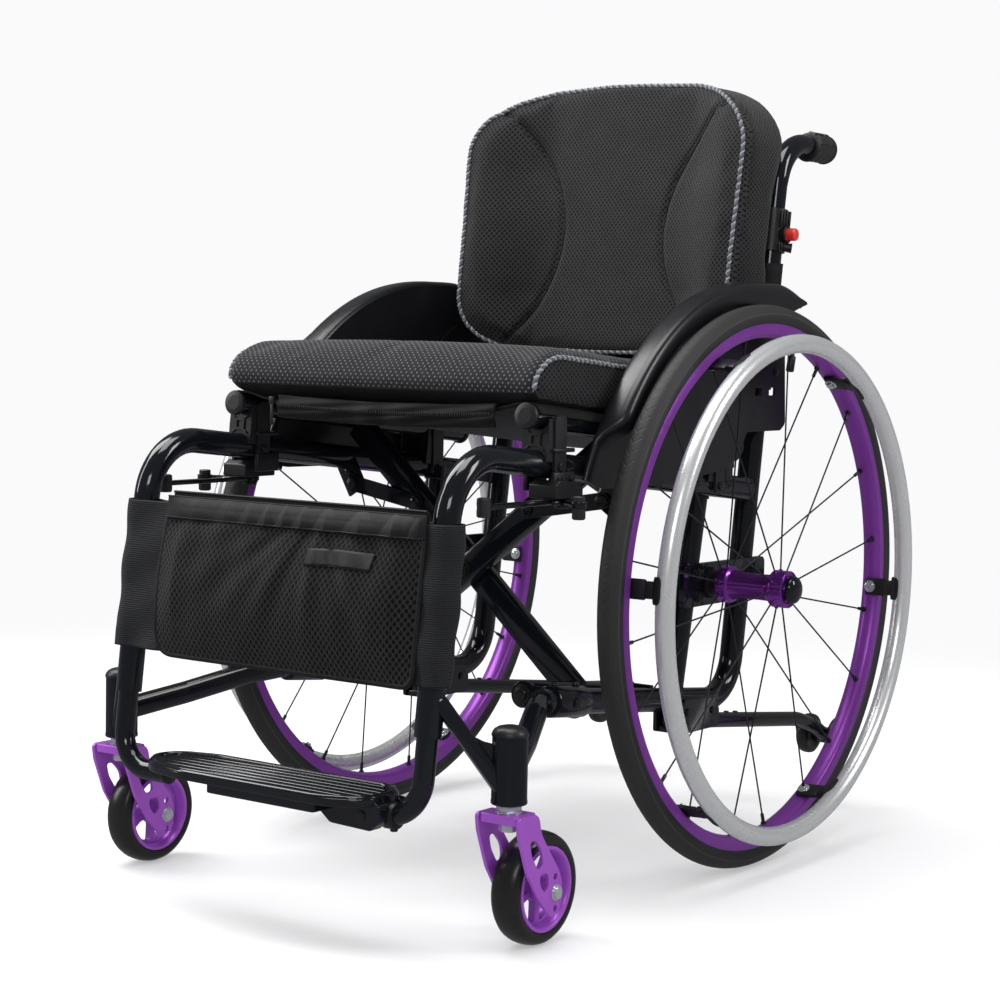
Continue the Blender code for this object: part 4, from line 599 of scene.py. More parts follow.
for side, name in SIDES:
    centre = at(side * WHEEL_X, 0, AXLE_Z)
    mesh = bmesh.new()
    lathe(mesh, TYRE_PROFILE, centre, "X", side, 144)
    piece(f"{name}_tyre", mesh, tyre_rubber(f"{name}_tyre_rubber", side), f"{name}_wheel",
          [f"{name}_rear_tyre"])
    mesh = bmesh.new()
    lathe(mesh, RIM_PROFILE, centre, "X", side, 144)
    piece(f"{name}_rim", mesh, PURPLE, f"{name}_wheel", [f"{name}_rear_rim"], sharp=24)
    mesh = bmesh.new()
    for start, end, radius, sides, edge in (
            (0.2625, 0.2595, 0.0040, 16, 0.0004), (0.2625, 0.2440, 0.0026, 16, 0.0006),
            (0.2500, 0.2330, 0.0043, 12, 0.0010)):
        rod(mesh, centre + spoked(VALVE_ANGLE, start), centre + spoked(VALVE_ANGLE, end), radius, sides, edge)
    piece(f"{name}_valve", mesh, PLASTIC, f"{name}_wheel")
print("tyres, rims and valves made")

# %% [markdown]
# The hub is one turned purple piece with a ring groove in each flange. Twenty thin black
# spokes run straight from the flanges to nipples in the rim, leaning a little to either
# side by turns. A black cap over the axle's button closes the hub, and a recess in the
# hub's end leaves it room to be pressed in.
# %% Hubs and spokes
SPOKE_COUNT = 20
SPOKE_START = 97.5
SPOKE_STEP = 360 / SPOKE_COUNT
FLANGES = (-0.0360, 0.0249)
HUB_PROFILE = [
    (0.0068, 0.0353), (0.0149, 0.0353), (0.0149, 0.0378), (0.0152, 0.0366), (0.0178, 0.0366),
    (0.0180, 0.0380), (0.0187, 0.0380), (0.0195, 0.0372), (0.0195, 0.0268), (0.0191, 0.0262),
    (0.0191, 0.0236), (0.0195, 0.0230), (0.0195, 0.0210), (0.0188, 0.0202), (0.0158, 0.0186),
    (0.0146, 0.0166), (0.0140, 0.0140), (0.0136, 0.0040), (0.0138, -0.0100), (0.0144, -0.0180),
    (0.0152, -0.0240), (0.0160, -0.0282), (0.0178, -0.0298), (0.0194, -0.0304), (0.0194, -0.0412),
    (0.0186, -0.0420), (0.0068, -0.0420),
]

for side, name in SIDES:
    centre = at(side * WHEEL_X, 0, AXLE_Z)
    mesh = bmesh.new()
    lathe(mesh, HUB_PROFILE, centre, "X", side, 72)
    for index in range(SPOKE_COUNT):
        angle = math.radians(SPOKE_START + SPOKE_STEP * index)
        flange = side * FLANGES[index % 2]
        rod(mesh, centre + spoked(angle, 0.0185, flange), centre + spoked(angle, 0.0207, flange),
            0.0020, 12, 0.0003)
    piece(f"{name}_hub", mesh, HUB_PURPLE, f"{name}_wheel", [f"{name}_rear_hub"], sharp=26)
    mesh = bmesh.new()
    for index in range(SPOKE_COUNT):
        angle = math.radians(SPOKE_START + SPOKE_STEP * index)
        flange = side * FLANGES[index % 2]
        start = centre + spoked(angle, 0.0190, flange)
        end = centre + spoked(angle, 0.2618, 0.1 * flange)
        sweep(mesh, [start, end], 0.0009, 10)
        run = (end - start).normalized()
        rod(mesh, end - run * 0.0115, end + run * 0.0006, 0.0019, 12, 0.0003)
        rod(mesh, end - run * 0.0022, end + run * 0.0006, 0.0031, 16, 0.0005)
    piece(f"{name}_spokes", mesh, PLASTIC, f"{name}_wheel")
    mesh = bmesh.new()
    hub_end = at(0, 0, AXLE_Z)
    lathe(mesh, [
        (0, 0.2964), (0.0042, 0.2962), (0.0082, 0.2954), (0.0112, 0.2942), (0.0134, 0.2924),
        (0.0144, 0.2904), (0.0145, 0.2880), (0.0135, 0.2879), (0.0135, 0.2864), (0.0060, 0.2864),
        (0.0060, 0.2790), (0, 0.2790),
    ], hub_end, "X", side, 48)
    piece(f"{name}_axle_cap", mesh, GLOSS_CAP, f"{name}_axle", [f"{name}_axle_pin"])
    mesh = bmesh.new()
    lathe(mesh, [
        (0, 0.1585), (0.0040, 0.1585), (0.0050, 0.1600), (0.0062, 0.1600), (0.0062, 0.2864), (0, 0.2864),
    ], hub_end, "X", side, 32)
    piece(f"{name}_axle_shaft", mesh, ZINC, f"{name}_axle")
print("hubs, spokes and caps made")

# %% [markdown]
# The handrim is a thick round tube of satin aluminium. Six black clips reach out to it from
# the rim's inner lip. Each wraps the ring like a saddle and is held by a washer and a screw
# that show on the inside of the rim.
# %% Handrims
HANDRIM_X = 0.2912
HANDRIM_RADIUS = 0.2562
TAB_ANGLES = [math.radians(60 * index - 4.5) for index in range(6)]

for side, name in SIDES:
    centre = at(0, 0, AXLE_Z)
    ring = [centre + spoked(math.tau * step / 144, HANDRIM_RADIUS, side * HANDRIM_X) for step in range(144)]
    mesh = bmesh.new()
    sweep(mesh, ring, 0.0098, 28, closed=True)
    piece(f"{name}_push_ring", mesh, SILVER, f"{name}_wheel", [f"{name}_handrim"])
    mesh = bmesh.new()
    bolts = bmesh.new()
    outward = RIGHTWARD * side
    for angle in TAB_ANGLES:
        away = spoked(angle, 1)
        turns = [angle + math.radians(-2.9 + 5.8 * step / 8) for step in range(9)]
        saddle = [centre + spoked(turn, HANDRIM_RADIUS, side * (HANDRIM_X - 0.0031)) for turn in turns]
        sweep(mesh, saddle, [0.0094, 0.0100] + [0.0102] * 5 + [0.0100, 0.0094], 28)
        knee = centre + away * 0.2585 + outward * 0.2700
        foot = centre + away * 0.2596 + outward * 0.2440
        end = centre + away * HANDRIM_RADIUS + outward * 0.2850
        beam(mesh, foot, knee, 0.0200, 0.0050, away, 0.0018)
        beam(mesh, knee - outward * 0.0010, end, 0.0170, 0.0080, away, 0.0026)
        hole = foot + outward * 0.0060
        rod(bolts, hole - away * 0.0020, hole - away * 0.0032, 0.0068, 28, 0.0003)
        screw(bolts, hole - away * 0.0032, -away, 0.0046, 0.0030)
    piece(f"{name}_clips", mesh, PLASTIC, f"{name}_wheel")
    piece(f"{name}_clip_screws", bolts, ZINC, f"{name}_wheel")
print("handrims made")

# %% [markdown]
# The caster forks are milled from plate and dyed purple: a flat top with rounded corners and
# two trailing legs, pierced by a long slot, a triangle and two small holes.
# %% Caster forks
CASTER_X = 0.2455
CASTER_Y = -0.398
CASTER_Z = 0.0525
STEM_Y = -0.440
FORK_HALF = 0.0245
FORK_WALL = 0.0040
LEG_OUTLINE = [
    (-0.4590, 0.1262), (-0.4560, 0.1290), (-0.4266, 0.1290), (-0.4224, 0.1100), (-0.4074, 0.0900),
    (-0.3934, 0.0721), (-0.3880, 0.0610), (-0.3872, 0.0480), (-0.3895, 0.0365), (-0.4016, 0.0285),
    (-0.4097, 0.0335), (-0.4264, 0.0513), (-0.4431, 0.0764), (-0.4571, 0.1124),
]
LEG_SLOT = [
    (-0.4402, 0.1050), (-0.4320, 0.1052), (-0.4205, 0.0935), (-0.4188, 0.0790), (-0.4275, 0.0780),
    (-0.4368, 0.0920),
]
LEG_WINDOW = [(-0.4240, 0.0724), (-0.4106, 0.0715), (-0.4094, 0.0595), (-0.4150, 0.0542), (-0.4218, 0.0612)]
LEG_SHAPES = [
    curved(LEG_OUTLINE, 0.030), curved(LEG_SLOT, 0.020), curved(LEG_WINDOW, 0.006),
    disc(-0.3987, 0.0662, 0.0029), disc(-0.3984, 0.0368, 0.0028),
]

for side, name in SIDES:
    mesh = bmesh.new()
    for leg in (-1, 1):
        place = side * CASTER_X + leg * (FORK_HALF - FORK_WALL / 2)
        slab(mesh, LEG_SHAPES, FORK_WALL, side_plane(place))
    top = oblong(-0.0205, -0.0172, 0.0205, 0.0145, 0.004)
    slab(mesh, [top], 0.0085, Matrix.Translation(at(side * CASTER_X, STEM_Y, 0.1248)))
    piece(f"{name}_fork", mesh, FORK_PURPLE, f"{name}_fork", [f"{name}_caster_fork"], edge=0.0011)
    mesh = bmesh.new()
    stem = at(side * CASTER_X, STEM_Y, 0)
    rod(mesh, stem + UP * 0.1200, stem + UP * 0.1860, 0.0075, 28)
    rod(mesh, stem + UP * 0.1288, stem + UP * 0.1304, 0.0124, 32, 0.0003)
    rod(mesh, stem + UP * 0.1304, stem + UP * 0.1362, 0.0118, 6, 0.0008)
    rod(mesh, stem + UP * 0.1206, stem + UP * 0.1120, 0.0098, 6, 0.0008)
    axle = at(side * CASTER_X, CASTER_Y, 0.0515)
    for away in (-RIGHTWARD, RIGHTWARD):
        screw(mesh, axle + away * 0.0246, away, 0.0060, 0.0034)
        rod(mesh, axle + away * 0.0240, axle + away * 0.0252, 0.0076, 28, 0.0002)
    rod(mesh, axle - RIGHTWARD * 0.0240, axle + RIGHTWARD * 0.0240, 0.0038, 20, 0)
    piece(f"{name}_stem", mesh, ZINC, f"{name}_fork")
print("forks made")

# %% [markdown]
# The caster wheel is a deep purple dish with five wide openings round its boss. It starts as
# a turned profile; the web is a slab with the openings cut in its outline. The tyre is
# plain solid rubber with a round section.
# %% Caster wheels
def sector_hole(centre_angle, inner, outer, half_angle, bend=0.003):
    """A four-cornered opening with rounded corners between two radii."""
    corners = []
    for radius, swing in ((inner, -1), (outer, -1), (outer, 0), (outer, 1), (inner, 1)):
        angle = centre_angle + swing * half_angle * (1.0 if radius == outer else 0.78)
        corners.append((radius * math.cos(angle), radius * math.sin(angle)))
    return curved(corners, bend)


CASTER_RIM = [
    (0.0395, 0.0146), (0.0382, 0.0150), (0.0366, 0.0146), (0.0350, 0.0128), (0.0335, 0.0060),
    (0.0335, -0.0060), (0.0350, -0.0128), (0.0366, -0.0146), (0.0382, -0.0150), (0.0395, -0.0146),
    (0.0403, -0.0120), (0.0403, 0.0120),
]

for side, name in SIDES:
    centre = at(side * CASTER_X, CASTER_Y, CASTER_Z)
    mesh = bmesh.new()
    lathe(mesh, CASTER_RIM, centre, "X", side, 72)
    lathe(mesh, [
        (0.0042, 0.0200), (0.0098, 0.0200), (0.0104, 0.0192), (0.0108, 0.0090), (0.0118, 0.0046),
        (0.0118, -0.0046), (0.0108, -0.0090), (0.0104, -0.0192), (0.0098, -0.0200), (0.0042, -0.0200),
    ], centre, "X", side, 48)
    web = [disc(0, 0, 0.0345, 60)]
    web += [sector_hole(math.radians(90 + 72 * n), 0.0135, 0.0322, math.radians(29)) for n in range(5)]
    slab(mesh, web, 0.0075, Matrix.Translation(centre) @ FACING_X)
    piece(f"{name}_caster_hub", mesh, FORK_PURPLE, f"{name}_caster", [f"{name}_caster_wheel"],
          edge=0.0007, sharp=32)
    mesh = bmesh.new()
    lathe(mesh, [
        (0.0042, 0.0203), (0.0080, 0.0203), (0.0085, 0.0196), (0.0085, -0.0196), (0.0080, -0.0203),
        (0.0042, -0.0203)], centre, "X", side, 40)
    piece(f"{name}_caster_bearing", mesh, ZINC, f"{name}_caster")
    mesh = bmesh.new()
    lathe(mesh, [
        (0.0405, -0.0138), (0.0440, -0.0148), (0.0476, -0.0140), (0.0502, -0.0112), (0.0518, -0.0070),
        (0.0524, -0.0025), (0.0525, 0), (0.0524, 0.0025), (0.0518, 0.0070), (0.0502, 0.0112),
        (0.0476, 0.0140), (0.0440, 0.0148), (0.0405, 0.0138), (0.0398, 0.0100), (0.0398, -0.0100),
    ], centre, "X", side, 96)
    piece(f"{name}_caster_rubber", mesh, CASTER_RUBBER, f"{name}_caster",
          [f"{name}_caster_tyre"])
print("caster wheels made")

# %% [markdown]
# The side frames are bent from round tube. The front tube, its bend and the top rail are one
# tube; the lower tube and the back cane are another; a second upright stands between them.
# All the welds and lugs are painted over, so they belong to the same piece.
# %% Side frames
RAIL_X = 0.188
FRAME_X = 0.170
TUBE = 0.0127
SEAT_X = 0.185
LOOP_CORNER_Y = meeting_y(FRONT_FOOT, FRONT_LEAN, RAIL_LEVEL, RAIL_SLOPE)
CANE_CORNER_Y = meeting_y(CANE_FOOT, CANE_LEAN, LOWER_LEVEL, LOWER_SLOPE)
UPRIGHT_TOP_Y = meeting_y(UPRIGHT_FOOT, UPRIGHT_LEAN, RAIL_LEVEL, RAIL_SLOPE)
UPRIGHT_LOW_Y = meeting_y(UPRIGHT_FOOT, UPRIGHT_LEAN, LOWER_LEVEL, LOWER_SLOPE)
FOOT_X = 0.137
BAR_ANGLE = math.atan2((seat_z(FOLD_Y) - FOLD_Z) * math.cos(FOLD_SLOPE), SEAT_X)
FOOT_DROP = -FOOT_X * math.tan(BAR_ANGLE)
LINK_UP = (0.390 - FOLD_Z) * math.cos(FOLD_SLOPE)
FOLD_UP = FOLD.to_3x3() @ UP


def on_rail(side, y):
    """A point of a top rail's centre line."""
    return at(side * RAIL_X, y, rail_z(y))


def on_lower(side, y):
    """A point of a lower side tube's centre line."""
    return at(side * FRAME_X, y, lower_z(y))


def on_front(side, z):
    """A point of a front tube's centre line."""
    return at(side * RAIL_X, front_y(z), z)


def on_cane(side, z):
    """A point of a back cane's centre line."""
    return at(side * FRAME_X, cane_y(z), z)


def ring_weld(mesh, centre, axis, radius, bead=0.0016):
    """A low weld bead round a joint."""
    turn = axis.to_track_quat("Z", "Y").to_matrix()
    ring = [centre + turn @ Vector((*place, 0)) for place in disc(0, 0, radius, 40)]
    sweep(mesh, ring, bead, 10, closed=True)


def link_middle(side):
    """How far in front of the fold's middle a side's link lies."""
    return (-0.0185 if side > 0 else 0.0005) - 0.0024


for side, name in SIDES:
    mesh = bmesh.new()
    loop = [on_front(side, 0.1959), on_rail(side, LOOP_CORNER_Y), on_rail(side, 0.0660)]
    sweep(mesh, rounded(loop, 0.062, 16), TUBE, 32)
    cane = [on_lower(side, -0.2154), on_lower(side, CANE_CORNER_Y), on_cane(side, 0.698)]
    sweep(mesh, rounded(cane, 0.050, 14), TUBE, 32)
    low = on_lower(side, UPRIGHT_LOW_Y)
    high = at(side * 0.176, UPRIGHT_TOP_Y, rail_z(UPRIGHT_TOP_Y))
    sweep(mesh, [low, high], 0.0115, 28)
    lean = (high - low).normalized()
    ring_weld(mesh, low + lean * 0.0130, lean, 0.0118)
    ring_weld(mesh, high - lean * 0.0136, lean, 0.0118)
    sleeve = on_lower(side, -0.272)
    run = (on_lower(side, -0.215) - sleeve).normalized()
    rod(mesh, sleeve, sleeve + run * 0.0573, 0.0158, 36, 0.0012)
    bosses = [sleeve + run * reach for reach in (0.010, 0.047)]
    for boss in bosses:
        rod(mesh, boss + UP * 0.012, boss + UP * 0.0178, 0.0042, 24, 0.0006)
    rod(mesh, on_rail(side, 0.0650), on_rail(side, 0.0705), 0.0132, 32, 0.0016)
    beam(mesh, at(side * 0.1870, 0.0560, rail_z(0.0560)), on_cane(side, 0.386), 0.0090, 0.0200, UP, 0.0015)
    for front in (-0.0864, 0.0984):
        lug = in_fold(side * FOOT_X, front, FOOT_DROP)
        rod(mesh, lug, lug + FOLD_AXIS * 0.008, 0.0135, 32, 0.0009)
        beam(mesh, lug + FOLD_AXIS * 0.004, in_fold(side * FRAME_X, front + 0.004, FOOT_DROP),
             0.0074, 0.020, FOLD_UP, 0.001)
    back = link_middle(side) + 0.0044
    beam(mesh, in_fold(side * 0.166, back, LINK_UP - 0.008), in_fold(side * RAIL_X, back, 0.108),
         0.026, 0.004, FOLD_AXIS, 0.001)
    piece(f"{name}_frame_tubes", mesh, PAINT, f"{name}_frame", [f"{name}_side_frame"])
    mesh = bmesh.new()
    for front, turn in ((-0.0868, -1), (0.1068, 1)):
        place = in_fold(side * FOOT_X, front, FOOT_DROP)
        rod(mesh, place, place + FOLD_AXIS * turn * 0.0012, 0.0100, 32, 0.0003)
        screw(mesh, place + FOLD_AXIS * turn * 0.0012, FOLD_AXIS * turn, 0.0068, 0.0036)
    stud = in_fold(side * FRAME_X, link_middle(side) - 0.0022, LINK_UP)
    rod(mesh, in_fold(side * FRAME_X, back, LINK_UP), stud, 0.0030, 16, 0)
    screw(mesh, stud, -FOLD_AXIS, 0.0066, 0.0030)
    for boss in bosses:
        screw(mesh, boss + UP * 0.0174, UP, 0.0032, 0.0016)
    screw(mesh, sleeve + run * 0.0285 + RIGHTWARD * side * 0.0152, RIGHTWARD * side, 0.0060, 0.0032)
    piece(f"{name}_frame_screws", mesh, BLACK_STEEL, f"{name}_frame")
print("side frames made")

# %% [markdown]
# In front of the sleeve an arm curves outward to the bearing housing of the caster, and a flat
# strut joins the housing to the foot of the front tube. The housing is closed by a soft cap.
# %% Caster mounts
for side, name in SIDES:
    mesh = bmesh.new()
    path = [
        on_lower(side, -0.2724), at(side * FRAME_X, -0.288, 0.1985), at(side * 0.186, -0.317, 0.194),
        at(side * 0.216, -0.376, 0.178), at(side * CASTER_X, STEM_Y, 0.164)]
    sweep(mesh, rounded(path, 0.060, 6), 0.0115, 28)
    sweep(mesh, [path[0], path[0] + Vector((0, -0.012, 0.0014))], 0.0127, 28)
    stem = at(side * CASTER_X, STEM_Y, 0)
    lathe(mesh, [
        (0.0088, 0.1366), (0.0158, 0.1366), (0.0166, 0.1374), (0.0167, 0.1400), (0.0163, 0.1406),
        (0.0163, 0.1978), (0.0161, 0.1982), (0.0088, 0.1982)], stem, "Z", 1, 48)
    top = on_front(side, 0.237)
    foot = at(side * CASTER_X, STEM_Y, 0.1400)
    away = (foot - top).normalized()
    beam(mesh, top + away * 0.0080, foot - away * 0.0020, 0.0225, 0.0140, Vector((side, 1, 0)), 0.0028)
    level = (foot - top).xy.to_3d().normalized()
    gusset = [(-0.012, 0.155), (-0.012, 0.189), (-0.024, 0.192), (-0.034, 0.197), (-0.034, 0.182)]
    flat = Matrix(((level.x, 0, level.y, stem.x), (level.y, 0, -level.x, stem.y), (0, 1, 0, 0), (0, 0, 0, 1)))
    slab(mesh, [curved(gusset, 0.003)], 0.009, flat)
    piece(f"{name}_caster_arm", mesh, PAINT, f"{name}_frame", [f"{name}_caster_mount"])
    mesh = bmesh.new()
    lathe(mesh, [
        (0, 0.2082), (0.0060, 0.2078), (0.0110, 0.2066), (0.0142, 0.2048), (0.0160, 0.2024), (0.0169, 0.2004),
        (0.0170, 0.1986), (0.0164, 0.1980), (0, 0.1980)], stem, "Z", 1, 48)
    piece(f"{name}_housing_cap", mesh, PLASTIC, f"{name}_frame")
print("caster mounts made")

# %% [markdown]
# The axle plate is clamped to both uprights. Its receiver tube takes the quick-release axle.
# %% Axle plates
for side, name in SIDES:
    mesh = bmesh.new()
    outline = curved([(-0.054, 0.272), (0.118, 0.272), (0.118, 0.316), (-0.053, 0.318)], 0.008)
    slab(mesh, [outline, disc(0.058, AXLE_Z, 0.0050)], 0.006, side_plane(side * 0.1861))
    piece(f"{name}_plate", mesh, PAINT, f"{name}_frame", [f"{name}_axle_plate"], edge=0.0010)
    mesh = bmesh.new()
    lathe(mesh, [
        (0.0068, 0.1620), (0.0118, 0.1620), (0.0125, 0.1628), (0.0125, 0.2040), (0.0119, 0.2046),
        (0.0068, 0.2046)], at(0, 0, AXLE_Z), "X", side, 40)
    rod(mesh, at(side * 0.1891, 0, AXLE_Z), at(side * 0.1955, 0, AXLE_Z), 0.0170, 6, 0.0010)
    for y in (upright_y(AXLE_Z), cane_y(AXLE_Z)):
        for z in (0.2825, 0.3060):
            rod(mesh, at(side * 0.1889, y, z), at(side * 0.1901, y, z), 0.0066, 28, 0.0003)
            screw(mesh, at(side * 0.1900, y, z), RIGHTWARD * side, 0.0054, 0.0034)
    piece(f"{name}_receiver", mesh, PLASTIC, f"{name}_frame")
print("axle plates made")

# %% [markdown]
# Two bars of rectangular tube cross under the seat and turn about one bolt. Each has a short
# round tube at its foot and carries a seat tube at its top, so the seat goes up as the chair
# folds. Short links steer the bars from the side frames.
# %% Cross brace
LINK_REACH = 0.105
BAR_TOP = math.hypot(SEAT_X, SEAT_X * math.tan(BAR_ANGLE)) - 0.0112

for side, bar, body in ((1, "front", "front_bar"), (-1, "rear", "rear_bar")):
    middle = side * -0.0095
    mesh = bmesh.new()
    foot = in_fold(-side * FOOT_X, middle, FOOT_DROP)
    top = in_fold(side * BAR_TOP * math.cos(BAR_ANGLE), middle, BAR_TOP * math.sin(BAR_ANGLE))
    beam(mesh, foot, top, 0.028, 0.018, FOLD_AXIS, 0.0030)
    for front, back, radius, sides, edge in ((-0.078, 0.098, 0.012, 36, 0.0008), (-0.086, 0.106, 0.006, 20, 0)):
        rod(mesh, in_fold(-side * FOOT_X, front, FOOT_DROP), in_fold(-side * FOOT_X, back, FOOT_DROP),
            radius, sides, edge)
    piece(f"{bar}_cross_bar", mesh, PAINT, body, [f"cross_bar_{bar}"])

mesh = bmesh.new()
for end in (-1, 1):
    face = in_fold(0, end * 0.0189, 0)
    rod(mesh, face, face + FOLD_AXIS * end * 0.0011, 0.0112, 36, 0.0003)
    screw(mesh, face + FOLD_AXIS * end * 0.0011, FOLD_AXIS * end, 0.0084, 0.0036)
rod(mesh, in_fold(0, -0.0189, 0), in_fold(0, 0.0189, 0), 0.005, 20, 0)
piece("cross_bolt", mesh, BLACK_STEEL, "rear_bar", ["brace_bolt"])

for side, name in SIDES:
    middle = link_middle(side)
    outer = in_fold(side * FRAME_X, middle, LINK_UP)
    inner = in_fold(side * LINK_REACH * math.cos(BAR_ANGLE), middle, LINK_REACH * math.sin(BAR_ANGLE))
    mesh = bmesh.new()
    turn = Matrix.Translation((outer + inner) / 2) @ facing(FOLD_AXIS, (inner - outer).normalized())
    round_end = round_part(0, (inner - outer).length / 2, 0.0085, range(0, 181, 15))
    slab(mesh, [round_end + [(-across, -up) for across, up in round_end]], 0.004, turn)
    screw(mesh, inner - FOLD_AXIS * 0.0020, -FOLD_AXIS, 0.0064, 0.0028)
    piece(f"{name}_link_strip", mesh, PAINT, f"{name}_link", [f"{name}_brace_link"], edge=0.0005)
print("cross brace made")

# %% [markdown]
# The seat tubes end in round plugs and rest in plastic saddles on the top rails. Each saddle
# has a small square window between two ribs, and a flat strap in front of the tube that is
# bolted to the rail.
# %% Seat tubes and saddles
for side, name, body in ((1, "left", "front_bar"), (-1, "right", "rear_bar")):
    start = at(side * SEAT_X, -0.3375, seat_z(-0.3375))
    end = at(side * SEAT_X, 0.045, seat_z(0.045))
    run = (end - start).normalized()
    mesh = bmesh.new()
    sweep(mesh, [start, end], 0.011, 28)
    piece(f"{name}_sling_tube", mesh, PAINT, body, [f"{name}_seat_tube"])
    mesh = bmesh.new()
    for place, away in ((start, -run), (end, run)):
        rod(mesh, place - away * 0.001, place + away * 0.0048, 0.0128, 40, 0.0014)
        rod(mesh, place + away * 0.0046, place + away * 0.0050, 0.0075, 32, 0)
    piece(f"{name}_tube_plugs", mesh, PLASTIC, body)

SADDLE_WINDOW = [
    oblong(-0.0062, -0.0062, 0.0062, 0.0062, 0.0012), oblong(-0.0038, -0.0038, 0.0038, 0.0038, 0.0008)]
SADDLE_STRAP = oblong(-0.0095, -0.0330, 0.0095, 0.0245, 0.0080)

for side, name in SIDES:
    mesh = bmesh.new()
    bolts = bmesh.new()
    for y in (-0.318, -0.019):
        rise = seat_z(y) - rail_z(y)
        outline = [(-0.0145, 0.0023)] + round_part(0, 0, 0.0131, range(170, 9, -10))
        outline += [(0.0145, 0.0023), (0.0152, rise * 0.5), (0.0145, rise - 0.001)]
        outline += round_part(-side * 0.003, rise, 0.0114, range(-5, -176, -10))
        outline += [(-0.0145, rise - 0.001), (-0.0152, rise * 0.5)]
        matrix = Matrix.Translation(on_rail(side, y)) @ facing(Vector((0, -1, RAIL_SLOPE)), UP)
        slab(mesh, [[(-across, up) for across, up in outline]], 0.026, matrix)
        face = matrix @ Matrix.Translation((0, 0.0225, 0.0130))
        slab(mesh, SADDLE_WINDOW, 0.0030, face)
        for a in (-1, 1):
            for b in (-1, 1):
                start = face @ Vector((a * 0.0058, b * 0.0058, 0.0004))
                end = face @ Vector((a * 0.0110, b * 0.0095, 0.0004))
                beam(mesh, start, end, 0.0018, 0.0018, face.to_3x3() @ UP, 0.0004)
        for away in (RIGHTWARD * side, RIGHTWARD * -side):
            place = at(side * RAIL_X, y + 0.0080, rail_z(y))
            plane = Matrix.Translation(place + away * 0.0150 + UP * 0.0225) @ FACING_X
            slab(mesh, [SADDLE_STRAP], 0.0034, plane)
            screw(bolts, place + away * 0.0164 - UP * 0.0020, away, 0.0042, 0.0026)
    block(mesh, at(side * 0.1975, 0.0020, 0.4050), at(side * 0.2035, 0.0180, 0.4500), 0.0015)
    lathe(mesh, [
        (0, 0.1990), (0.0105, 0.1990), (0.0112, 0.2000), (0.0112, 0.2020), (0.0100, 0.2032), (0, 0.2032)],
        at(0, 0.0240, 0.4363), "X", side, 24)
    piece(f"{name}_saddles", mesh, PLASTIC, f"{name}_frame",
          [f"{name}_front_saddle", f"{name}_rear_saddle"], edge=0.0006)
    piece(f"{name}_saddle_screws", bolts, BLACK_STEEL, f"{name}_frame")
print("seat tubes and saddles made")

# %% [markdown]
# The footrest tubes slide in the front tubes and turn inward at the bottom. The footplate is
# one plate with rounded ends, a thick rim and lengthwise ridges; a hollow rail runs under
# its front edge, and it hinges on a casting at its left end.
# %% Footrest
HINGE_Y, HINGE_Z = front_y(0.117), 0.136
FOOT_TUBE_Z = 0.1225
PLATE_LEFT = 0.1570
PLATE_RIGHT = -0.1350
PLATE_FRONT = -0.5480
PLATE_BACK = -0.4660
PLATE_TOP = 0.1412

for side, name in SIDES:
    mesh = bmesh.new()
    end = at(side * 0.124, front_y(FOOT_TUBE_Z), FOOT_TUBE_Z)
    sweep(mesh, rounded([on_front(side, 0.2379), on_front(side, FOOT_TUBE_Z), end], 0.036, 14), 0.0100, 28)
    rod(mesh, end + RIGHTWARD * side * 0.0010, end - RIGHTWARD * side * 0.0030, 0.0104, 28, 0.0012)
    piece(f"{name}_foot_tube", mesh, PAINT, f"{name}_frame", [f"{name}_footrest_tube"])

mesh = bmesh.new()
rod(mesh, at(0.1500, HINGE_Y, FOOT_TUBE_Z), at(0.1640, HINGE_Y, FOOT_TUBE_Z), 0.0124, 36, 0.0018)
block(mesh, at(0.1420, HINGE_Y - 0.008, 0.1240), at(0.1560, HINGE_Y + 0.008, HINGE_Z), 0.0010)
rod(mesh, at(0.1495, HINGE_Y - 0.0062, HINGE_Z - 0.001), at(0.1495, HINGE_Y + 0.0062, HINGE_Z - 0.001),
    0.0056, 28, 0.0004)
piece("hinge_clamp", mesh, PLASTIC, "left_frame", ["foot_hinge"])
mesh = bmesh.new()
screw(mesh, at(0.1590, HINGE_Y, FOOT_TUBE_Z - 0.0120), -UP, 0.0036, 0.0024)
piece("hinge_screws", mesh, BLACK_STEEL, "left_frame")


def plate_outline(inset):
    """The footplate from above: a full round right end and a rounder front left corner."""
    left, right = PLATE_LEFT - inset, PLATE_RIGHT + inset
    front, back = PLATE_FRONT + inset, PLATE_BACK - inset
    corners = [
        (right, (front + back) / 2 + 0.004), (right + 0.022, front + 0.010), (right + 0.075, front),
        (left - 0.040, front), (left - 0.004, front + 0.016), (left, back - 0.020), (left - 0.018, back),
        (right + 0.050, back), (right + 0.012, back - 0.012)]
    return curved(corners, 0.060, 8)


mesh = bmesh.new()
slab(mesh, [plate_outline(0.0)], 0.0078, Matrix.Translation((0, AXLE_Y, PLATE_TOP - 0.0039)))
rim = [Vector((px, AXLE_Y + py, PLATE_TOP - 0.0010)) for px, py in plate_outline(0.0034)]
sweep(mesh, rim, 0.0036, 12, closed=True)
rail = [oblong(-0.033, -0.5390, 0.100, -0.5140, 0.004), oblong(-0.029, -0.5360, 0.097, -0.5170, 0.003)]
slab(mesh, rail, 0.0110, Matrix.Translation((0, AXLE_Y, PLATE_TOP - 0.0125)))
casting = curved([
    (0.086, 0.1370), (0.090, 0.1220), (0.103, 0.1120), (0.150, 0.1105), (0.1605, 0.1190),
    (0.1605, 0.1370)], 0.007)
for low_y, high_y in ((-0.5200, HINGE_Y - 0.0090), (HINGE_Y + 0.0090, -0.4760)):
    turned = Matrix(((1, 0, 0, 0), (0, 0, -1, AXLE_Y + (low_y + high_y) / 2), (0, 1, 0, 0), (0, 0, 0, 1)))
    slab(mesh, [casting], high_y - low_y, turned)
